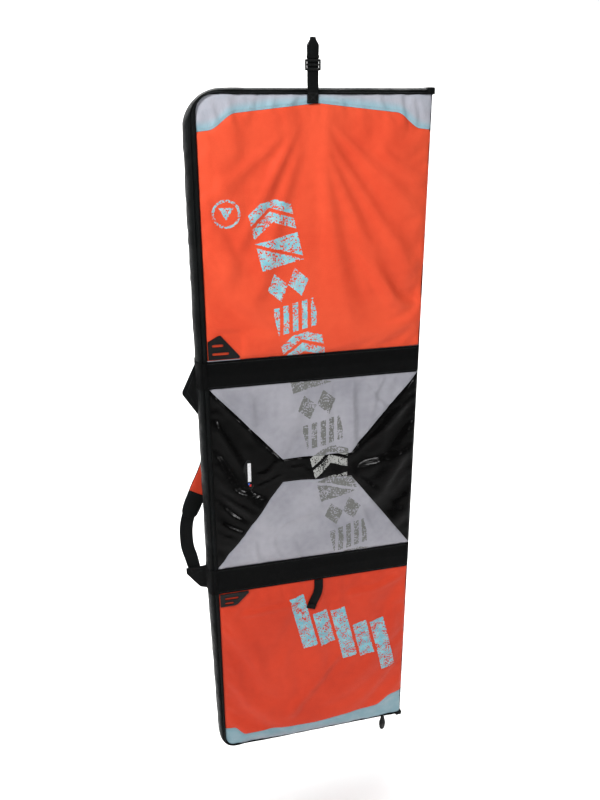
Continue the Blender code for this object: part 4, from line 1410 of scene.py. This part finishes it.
def band_grid(top, low, back):
    """A band's outer face: rows down its width, columns from the zip across to the right side."""
    round_border = curve_through(BAND_ROUND_BORDER, 3)[::-1][:-1]
    vs = np.linspace(top, low, 15)
    side = [(X_LEFT - share * SIDE, Y_BACK - depth if back else Y_FRONT + depth)
            for share, depth in round_border]
    turned_over = []
    if back:
        turned_over += [(X_RIGHT + 0.0022, y) for y in (Y_BACK - 0.003, Y_BACK - 0.006)]
        depths = np.linspace(Y_BACK - 0.010, Y_FRONT + 0.016, 9)
        turned_over += [(X_RIGHT + 0.0042, y) for y in depths]
        turned_over += [(X_RIGHT + 0.0030, Y_FRONT + 0.012), (X_RIGHT + 0.0010, Y_FRONT + 0.0095)]
    left = np.exp(-((WHOLE / 0.006) ** 2))
    rows = []
    for v in vs:
        proud = 0.0016 - 0.0007 * math.exp(-((min(v - top, low - v) / 0.002) ** 2))
        height = (BACK if back else FRONT).height(WHOLE, np.full_like(WHOLE, v)) + proud
        height = height + 0.0003 * noise(WHOLE * 30, WHOLE * 0 + v * 60)
        height = height * (1 - left) + 0.0036 * left - rolled(WHOLE, WIDTH, 0.0046)
        flat = [(X_LEFT + u, Y_BACK + h if back else Y_FRONT - h) for u, h in zip(WHOLE, height)]
        rows.append([(x, y, Z_TOP - v) for x, y in side + flat + turned_over])
    grid = np.array(rows)
    steps = np.linalg.norm(np.diff(grid, axis=1), axis=-1).mean(axis=0)
    along = np.concatenate([[0], np.cumsum(steps)])
    return grid, np.stack(np.meshgrid(along, (top + low) / 2 - vs), axis=-1)


def bands():
    """Broad webbing across the front and the back, over the border and into the wings."""
    for name, top, low in (
        ("upper", UPPER_FOLD + 0.0006, BAND_TOP + 0.0012),
        ("lower", BAND_LOW - 0.0012, LOWER_FOLD - 0.0006),
    ):
        for side, bodies in SIDES:
            way, last = (1, -16) if side == "back" else (-1, -2)
            body = bodies["middle"]
            grid, uv = band_grid(top, low, side == "back")
            out = np.array([0.0, way, 0.0])
            obj = sheet_object(f"band_{side}_{name}", grid, uv, BAND, out, 0.0014)
            settle(obj, body, [f"{side}_band_{name}"])
            lines = [(grid[row, 30:last] + out * 0.00025, out) for row in (1, -2)]
            stitches(f"stitches_band_{side}_{name}", lines, BLACK_THREAD, body)


def wing(which, places, tops, lows):
    """A doubled webbing tab between the band and the carrying strap."""
    name, node = f"wing_webbing_{which}", f"wing_{which}"
    low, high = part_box(node)
    us = np.linspace(places[0], places[-1], 16)
    top, bottom = np.interp(us, places, tops), np.interp(us, places, lows)
    t = np.linspace(0, 1, 12)[:, None]
    v = top + (bottom - top) * t
    u = np.broadcast_to(us, v.shape)
    curl = 0.0010 * np.sin(np.pi * t) + 0.0008 * noise(u * 60, v * 40)
    grid = spot(u, low.y - curl, v)
    out = (0, -1, 0)
    obj = sheet_object(name, grid, np.stack([v, u + 0.04], axis=-1), STRAP, out, high.y - low.y)
    settle(obj, "mid_section", [node])
    rim = np.concatenate([grid[1, 1:-1], grid[1:-1, -2], grid[-2, -2:0:-1]])
    cross = np.array([grid[2, 3], grid[-3, 11]])
    other = np.array([grid[-3, 3], grid[2, 11]])
    lines = [(line + np.array([0, -0.0003, 0]), out) for line in (rim, cross, other)]
    stitches(f"stitches_{name}", lines, BLACK_THREAD, "mid_section", pitch=0.0032, length=0.0022)


# The carrying strap's way: u, depth behind the front, v and width
STRAP_ROUTE = (
    (-0.036, 0.0450, 0.650, 0.012), (-0.022, 0.0600, 0.695, 0.022), (0.000, 0.0800, 0.745, 0.034),
    (0.013, 0.0920, 0.800, 0.034), (0.013, 0.0960, 0.855, 0.034), (-0.004, 0.0920, 0.910, 0.034),
    (-0.033, 0.0780, 0.965, 0.034), (-0.064, 0.0560, 1.030, 0.034),
    (-0.069, 0.0460, 1.090, 0.034), (-0.060, 0.0430, 1.135, 0.034),
    (-0.052, 0.0425, 1.176, 0.031),
)
STRAP_STEPS = 7
PAD_ROWS = (2, 7)


def carrying_strap():
    route = curve_through(STRAP_ROUTE, STRAP_STEPS)
    path = spot(route[:, 0], Y_FRONT + route[:, 1], route[:, 2])
    webbing = strap("carrying_webbing", path, (1, 0, 0), route[:, 3], 0.0024, STRAP)
    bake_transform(webbing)
    settle(webbing, nodes=["carry_strap"])

    middle = path[STRAP_STEPS * PAD_ROWS[0] - 1 : STRAP_STEPS * PAD_ROWS[1]]
    tangents = unit(np.gradient(middle, axis=0))
    sides = unit(np.array([1.0, 0, 0]) - tangents * tangents[:, :1])
    face = np.cross(tangents, sides)
    face *= np.where(face[:, 1:2] > 0, -1, 1)
    count = len(middle)
    t = np.linspace(0, 1, count)
    ends = np.clip(np.minimum(t, 1 - t) / 0.10, 0, 1)
    ends = np.sqrt(1 - (1 - ends) ** 2)
    width = 0.042 * (0.62 + 0.38 * ends)
    crown = 0.0095 * (0.30 + 0.70 * ends) * (1 + 0.10 * noise(t * 9, t * 0 + 2.2))
    c, s = np.cos(circle(24)), np.sin(circle(24))
    section = np.stack([np.sign(c) * np.abs(c) ** 0.7, np.sign(s) * np.abs(s) ** 0.85], axis=-1)
    centre = middle + face * (0.0014 + crown / 2)[:, None]
    pad = strap("shoulder_pad_cloth", centre, sides, width, crown, PAD, section)
    settle(pad, "carrying_strap", ["shoulder_pad"])
    # Black cloth is sewn over both ends of the pad
    for name, part in (
        ("pad_end_upper", slice(0, max(4, count // 8))),
        ("pad_end_lower", slice(count - count // 5, count)),
    ):
        wide, thick = width[part] + 0.0022, crown[part] + 0.0018
        sleeve = strap(name, centre[part], sides[part], wide, thick, BINDING, section)
        settle(sleeve, "carrying_strap")
    lines = []
    for sign in (-1, 1):
        line = centre + sides * (sign * width / 2 * 0.80)[:, None] + face * (crown * 0.36)[:, None]
        lines.append((line[2:-2], face.mean(axis=0)))
    stitches("stitches_pad", lines, BLACK_THREAD, "carrying_strap")
    # Piping round the pad's rim
    around = [centre + sides * (s * (width / 2 + 0.0004))[:, None] for s in (-1, 1)]
    rim = np.concatenate([around[0], around[1][::-1]])
    rim_tube("pad_piping", rim, 0.0015, BINDING, "carrying_strap", closed=True)


# ---------------------------------------------------------------- hanging strap, tail, zip pull

LOOP_START = 0.060  # height of the hanging loop's lower end above the bag


def hanging_strap():
    """Webbing sewn to the top trim and folded at its hinge."""
    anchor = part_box("strap_anchor")[0].z
    below = np.linspace(anchor - 0.001, Z_TOP - 0.004, 12)
    heights = FRONT.height(np.full(12, -X_LEFT), Z_TOP - below)
    over_binding = 0.0019 * smooth(Z_TOP - 0.020, Z_TOP - 0.010, below)
    points = [(0, Y_FRONT - max(h, b) - 0.0011, z) for z, h, b in zip(below, heights, over_binding)]
    points += [(0, -0.0020, Z_TOP), (0, -0.0012, Z_TOP + 0.004), (0, -0.0002, Z_TOP + 0.0075)]
    points += [(0, 0, z) for z in np.linspace(Z_TOP + 0.012, Z_TOP + LOOP_START, 9)]
    path = curve_through(points, 3)
    webbing = strap("hanging_webbing", path, (1, 0, 0), WEBBING, 0.0020, STRAP)
    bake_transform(webbing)
    settle(webbing, nodes=["strap_anchor"])
    hanging_loop()

    lines = []
    low, high = anchor + 0.002, anchor + 0.020
    corners = [(-0.010, low), (0.010, low), (0.010, high), (-0.010, high)]
    ends = ((0, 1), (1, 2), (2, 3), (3, 0), (0, 2), (1, 3))
    for (x0, z0), (x1, z1) in ((corners[a], corners[b]) for a, b in ends):
        zs = np.linspace(z0, z1, 12)
        ys = np.interp(zs, path[:30, 2], path[:30, 1]) - 0.00108
        lines.append((np.stack([np.linspace(x0, x1, 12), ys, zs], axis=-1), (0, -1, 0)))
    stitches("stitches_anchor", lines, BLACK_THREAD, "lid_top", pitch=0.0028, length=0.0020)
    ladder_lock()


def hanging_loop():
    """The doubled loop above the lock, which narrows at its top, and the keeper sewn round it."""
    top = Z_TOP + LOOP_START
    low, high = top - 0.003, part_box("hang_strap")[1].z
    turns = circle(56)
    z = (low + high) / 2 + (high - low - 0.002) / 2 * np.cos(turns)
    y = 0.0042 * np.sin(turns) * (0.75 + 0.25 * np.cos(turns))
    centre = np.stack([np.zeros(56), y, z], axis=-1)
    wide = 0.0125 - 0.0062 * smooth(high - 0.018, high - 0.003, z)
    ups = np.cross(unit(np.roll(centre, -1, axis=0) - np.roll(centre, 1, axis=0)), (1.0, 0, 0))
    cup = 0.0022 * (1 - wide / 0.0125)[:, None] * STRAP_SECTION[:, 0] ** 2
    across = wide[:, None] * STRAP_SECTION[:, 0]
    rings = centre[:, None] + (0.0010 * STRAP_SECTION[:, 1] + cup)[..., None] * ups[:, None]
    rings[..., 0] += across
    uv = np.stack([np.repeat(lengths(centre)[:, None], len(STRAP_SECTION), 1), across], axis=-1)
    loop = tube_object("hanging_loop", rings, STRAP, uv.reshape(-1, 2), closed=True)
    settle(loop, "hanging_strap", ["hang_strap"])
    keeper = ((-0.0134, -0.0040, top - 0.004), (0.0134, 0.0040, top + 0.003))
    settle(rounded_block(*keeper, 0.0018, STRAP, "loop_keeper", with_uv=True), "hanging_strap")


def ladder_lock():
    """Two cheeks, three bars in front, two behind and a row of grip ribs."""
    low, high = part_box("ladder_lock")
    x, z0, z1 = high.x, low.z, high.z
    parts = []
    for sign in (-1, 1):
        inner, outer = sorted((sign * (x - 0.0034), sign * x))
        parts.append(rounded_block((inner, -0.0036, z0), (outer, 0.0036, z1), 0.0014, PLASTIC))
    for share, tall, y0, y1 in (
        (0.0, 0.0046, -0.0040, -0.0016), (0.5, 0.0036, -0.0040, -0.0016),
        (1.0, 0.0046, -0.0040, -0.0016), (0.0, 0.0046, 0.0016, 0.0040),
        (1.0, 0.0046, 0.0016, 0.0040),
    ):
        z = z0 + (z1 - z0 - tall) * share
        parts.append(rounded_block((0.001 - x, y0, z), (x - 0.001, y1, z + tall), 0.0009, PLASTIC))
    z = (z0 + z1) / 2
    for k in range(-4, 5):
        rib = ((k * 0.0028 - 0.0005, -0.0045, z - 0.0016), (k * 0.0028 + 0.0005, -0.0036, z + 0.0016))
        parts.append(rounded_block(*rib, 0.0003, PLASTIC))
    settle(join(parts, "ladder_lock_frame"), "lock", ["ladder_lock"])


def strap_tail():
    """The free end of webbing under the lower band, which has taken a curl."""
    low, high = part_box("strap_tail")
    top = Z_TOP - high.z
    # Way across from the middle, way down, height over the cloth and twist
    rows = (
        (0.004, -0.0030, 0.0018, 0.0), (0.004, 0.0120, 0.0018, 0.0), (0.003, 0.0260, 0.0022, 4.0),
        (-0.001, 0.0410, 0.0028, 9.0), (-0.008, 0.0560, 0.0030, 12.0),
        (-0.014, 0.0700, 0.0026, 8.0), (-0.019, 0.0840, 0.0022, 4.0),
    )
    route = curve_through(rows, 6)
    u = (low.x + high.x) / 2 - X_LEFT + route[:, 0]
    path = FRONT.points(u, top + route[:, 1], route[:, 2])
    twist = np.radians(route[:, 3])
    sides = np.stack([np.cos(twist), -np.sin(twist) * 0.35, 0.25 * np.sin(twist)], axis=-1)
    tail = strap("tail_webbing", path, sides, WEBBING * 0.98, 0.0019, STRAP)
    settle(tail, "tail", ["strap_tail"])
    # The end is turned over and sewn
    end = path[-7:] + np.array([0, -0.0021, 0.0004])
    settle(strap("tail_hem", end, sides[-7:], WEBBING * 0.97, 0.0018, STRAP), "tail")


def zip_slider():
    low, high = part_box("zip_slider")
    x, y = (low.x + high.x) / 2, (low.y + high.y) / 2
    parts = [
        rounded_block((low.x, low.y, low.z + 0.0004), (high.x, high.y, low.z + 0.0020), 0.0007, METAL)
    ]
    for y0, y1 in ((low.y + 0.0006, low.y + 0.0016), (high.y - 0.0016, high.y - 0.0006)):
        cheek = ((low.x + 0.001, y0, low.z + 0.0016), (high.x - 0.001, y1, high.z + 0.0012))
        parts.append(rounded_block(*cheek, 0.0004, METAL))
    turns = np.linspace(0, math.pi, 17)
    arch = [x + 0.0056 * np.cos(turns), np.full(17, y), low.z + 0.0010 - 0.0036 * np.sin(turns)]
    parts.append(rim_tube("arch", np.stack(arch, axis=-1), 0.0008, METAL, None))
    settle(join(parts, "slider_body"), "slider", ["zip_slider"])
    return x, y


def zip_pull(x, y):
    """A loop of cord through the slider's arch, and a long moulded grip with ribs."""
    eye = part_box("zip_pull")[1].z
    turns = circle(40)
    loop_y = y + 0.0021 * np.sin(turns) * (1 - 0.25 * np.cos(turns))
    loop = np.stack([np.full(40, x), loop_y, eye - 0.0125 + 0.0140 * np.cos(turns)], axis=-1)
    cord = rim_tube("pull_cord", loop, 0.0010, BINDING, "pull", closed=True)
    settle(cord)
    # The grip's outline: drop below the eye, radius
    shape = [(0.0170, 0.0024), (0.0186, 0.0044), (0.0212, 0.0055), (0.0255, 0.0062)]
    for k, full in enumerate((0.0076, 0.0090, 0.0100, 0.0105, 0.0102, 0.0091)):
        at = 0.0292 + k * 0.0052
        shape += [(at, full), (at + 0.0015, full), (at + 0.0022, full - 0.0009)]
        shape.append((at + 0.0037, full - 0.0009))
    shape += [(0.0610, 0.0083), (0.0648, 0.0066), (0.0680, 0.0038), (0.0696, 0.0007)]
    c, s = np.cos(circle(20)), np.sin(circle(20))
    rings = [np.stack([x + r * c, y + 0.62 * r * s, np.full(20, eye - d)], axis=-1) for d, r in shape]
    settle(tube_object("pull_grip", rings, PLASTIC), "pull", ["zip_pull"])


# ---------------------------------------------------------------- patches, badge and stitching

# The slots of each patch: left end, right end and v
SLOTS = {
    "upper": ("lid_top", ((0.013, 0.040, 0.553), (0.013, 0.053, 0.573))),
    "lower": ("lid_bottom", ((0.016, 0.053, 1.246), (0.016, 0.040, 1.260))),
}
SLOT_RADIUS = 0.0032
RIM_REACH = 0.0041


def lash_patches():
    """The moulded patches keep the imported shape, with eased edges and a rim round each slot."""
    for name, (body, slots) in SLOTS.items():
        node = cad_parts[f"lash_patch_{name}"]
        node.data.materials.clear()
        node.data.materials.append(RUBBER)
        node.data.shade_smooth()
        bevel = node.modifiers.new("Bevel", "BEVEL")
        bevel.width = 0.0009
        bevel.segments = 3
        bevel.limit_method = "ANGLE"
        bevel.angle_limit = math.radians(45)
        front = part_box(f"lash_patch_{name}")[0].y
        parts = []
        for u0, u1, v in slots:
            points = []
            for centre, first in ((u1 - SLOT_RADIUS, -90), (u0 + SLOT_RADIUS, 90)):
                angles = np.radians(np.linspace(first, first + 180, 10))
                across, up = RIM_REACH * np.cos(angles), RIM_REACH * np.sin(angles)
                points.append(spot(centre + across, front, v - up))
            path = np.concatenate(points)
            parts.append(rim_tube("slot_rim", path, 0.0007, RUBBER, None, closed=True))
        settle(join(parts, f"slot_rims_{name}"), body)


def oval_badge():
    """A moulded oval with a raised rim, a plain white bar and two dots."""
    low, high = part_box("oval_badge")
    x, z = (low.x + high.x) / 2, (low.z + high.z) / 2
    base = Y_FRONT - float(FRONT.height(x - X_LEFT, Z_TOP - z))
    c, s = np.cos(circle(48)), np.sin(circle(48))
    rings = []
    # Share of the outline's size, height over the cloth
    for share, lift in ((1.02, -0.0015), (1.02, 0.0006), (0.97, 0.0015), (0.88, 0.0018), (0.80, 0.0014),
                        (0.72, 0.0007), (0.45, 0.0009), (0.12, 0.0010)):
        across, up = (high.x - low.x) / 2 * share * c, (high.z - low.z) / 2 * share * s
        rings.append(np.stack([x + across, np.full(48, base - lift), z + up], axis=-1))
    badge = tube_object("badge_oval", rings, RUBBER, sharp=60)
    settle(badge, "lid_mid", ["oval_badge"])
    front = base - 0.0007
    for name, paint, x0, x1, z0, z1 in (
        ("badge_bar", BADGE_WHITE, -0.0042, 0.0042, -0.018, 0.033),
        ("badge_blue_dot", BADGE_BLUE, -0.0040, 0.0002, -0.0265, -0.0215),
        ("badge_red_dot", BADGE_RED, -0.0008, 0.0042, -0.0315, -0.0255),
    ):
        corners = ((x + x0, front - 0.0011, z + z0), (x + x1, front + 0.0006, z + z1))
        settle(rounded_block(*corners, 0.0004, paint, name), "lid_mid")


def front_stitching():
    """Topstitching beside the seams of the front."""
    us = np.linspace(0.010, WIDTH - 0.010, 200)
    out = (0, -1, 0)
    for name, v, body in (
        ("top", top_trim_edge(us) - 0.0052, "lid_top"),
        ("bottom", bottom_trim_edge(us) + 0.0052, "lid_bottom"),
    ):
        stitches(f"stitches_{name}_trim", [(FRONT.points(us, v, 0.0001), out)], GREY_THREAD, body)
    lines = []
    stops = (0.014, TIE_LEFT, TIE_RIGHT, WIDTH - 0.014)
    for edge, shift in ((tie_top, -0.0042), (tie_low, 0.0042)):
        for start, end in zip(stops, stops[1:]):
            places = np.linspace(start, end, 60)
            lines.append((FRONT.points(places, edge(places) + shift, 0.0006), out))
    stitches("stitches_white_panels", lines, GREY_THREAD, "lid_mid")
    # A thin pale piping cord beside the upper band's left end
    line = FRONT.points(np.linspace(0.001, 0.078, 30), UPPER_FOLD - 0.0016, 0.0010)
    cord = rim_tube("pale_piping", line, 0.0009, WHITE, "lid_top")
    settle(cord)


# ---------------------------------------------------------------- stage


def stage():
    """A pale floor under the bag that curves up behind it, soft lights and the camera."""
    floor_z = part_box("zip_pull")[0].z - 0.10
    profile = [(-6.0, floor_z), (2.4, floor_z)]
    for angle in np.radians(np.linspace(0, 90, 12)):
        profile.append((2.4 + 1.4 * math.sin(angle), floor_z + 1.4 * (1 - math.cos(angle))))
    profile.append((3.8, floor_z + 7.0))
    points = [(x, y, z) for x in (-9.0, 9.0) for y, z in profile]
    count = len(profile)
    faces = [[k, k + 1, count + k + 1, count + k] for k in range(count - 1)]
    floor_paint = Paint("pale_floor", by_uv=False).finish("F4F4F4", 0.9)
    make_object("backdrop", points, faces, floor_paint)

    world = bpy.data.worlds.new("studio")
    world.use_nodes = True
    world.node_tree.nodes["Background"].inputs[0].default_value = (1, 1, 1, 1)
    world.node_tree.nodes["Background"].inputs[1].default_value = 0.20
    bpy.context.scene.world = world

    middle = (0.0, 0.0, -0.9)
    # Place, aim, size and power; the last two light only the backdrop and the floor behind the bag
    for name, place, aim, size, power in (
        ("key", (-2.0, -1.30, 1.15), middle, 0.7, 75),
        ("fill", (1.5, -2.6, 1.3), middle, 1.6, 24),
        ("rim", (-2.4, 0.9, 0.0), middle, 1.2, 8),
        ("glint", (0.95, -2.15, -0.92), middle, 0.20, 5.5),
        ("backdrop_light", (0.0, 1.1, 1.6), (0.9, 3.8, 0.0), 2.6, 185),
        ("floor_light", (0.2, 1.3, 0.6), (0.2, 2.0, -3.0), 2.6, 84),
    ):
        light = bpy.data.lights.new(name, "AREA")
        light.size = size
        light.energy = power
        lamp = bpy.data.objects.new(name, light)
        lamp.location = place
        lamp.rotation_euler = (Vector(aim) - Vector(place)).to_track_quat("-Z", "Y").to_euler()
        bpy.context.collection.objects.link(lamp)

    lens = bpy.data.cameras.new("camera")
    lens.lens = 34.20
    lens.sensor_width = 36.0
    camera = bpy.data.objects.new("camera", lens)
    camera.location = (-0.4587, -1.6810, -0.1443)
    camera.rotation_euler = [math.radians(a) for a in (69.236, 0.237, -14.364)]
    bpy.context.collection.objects.link(camera)
    bpy.context.scene.camera = camera
    bpy.context.scene.view_settings.view_transform = "Standard"


stage()
front_panels()
back_panels()
fold_flaps()
hinge_tapes()
linings()
borders()
end_tabs()
spine()
bellows()
bands()
wing("upper", (-0.058, -0.0215), (0.671, 0.598), (0.679, 0.737))
wing("lower", (-0.076, -0.042, -0.0215), (1.160, 1.160, 1.158), (1.177, 1.222, 1.228))
carrying_strap()
hanging_strap()
strap_tail()
zip_pull(*zip_slider())
lash_patches()
oval_badge()
front_stitching()
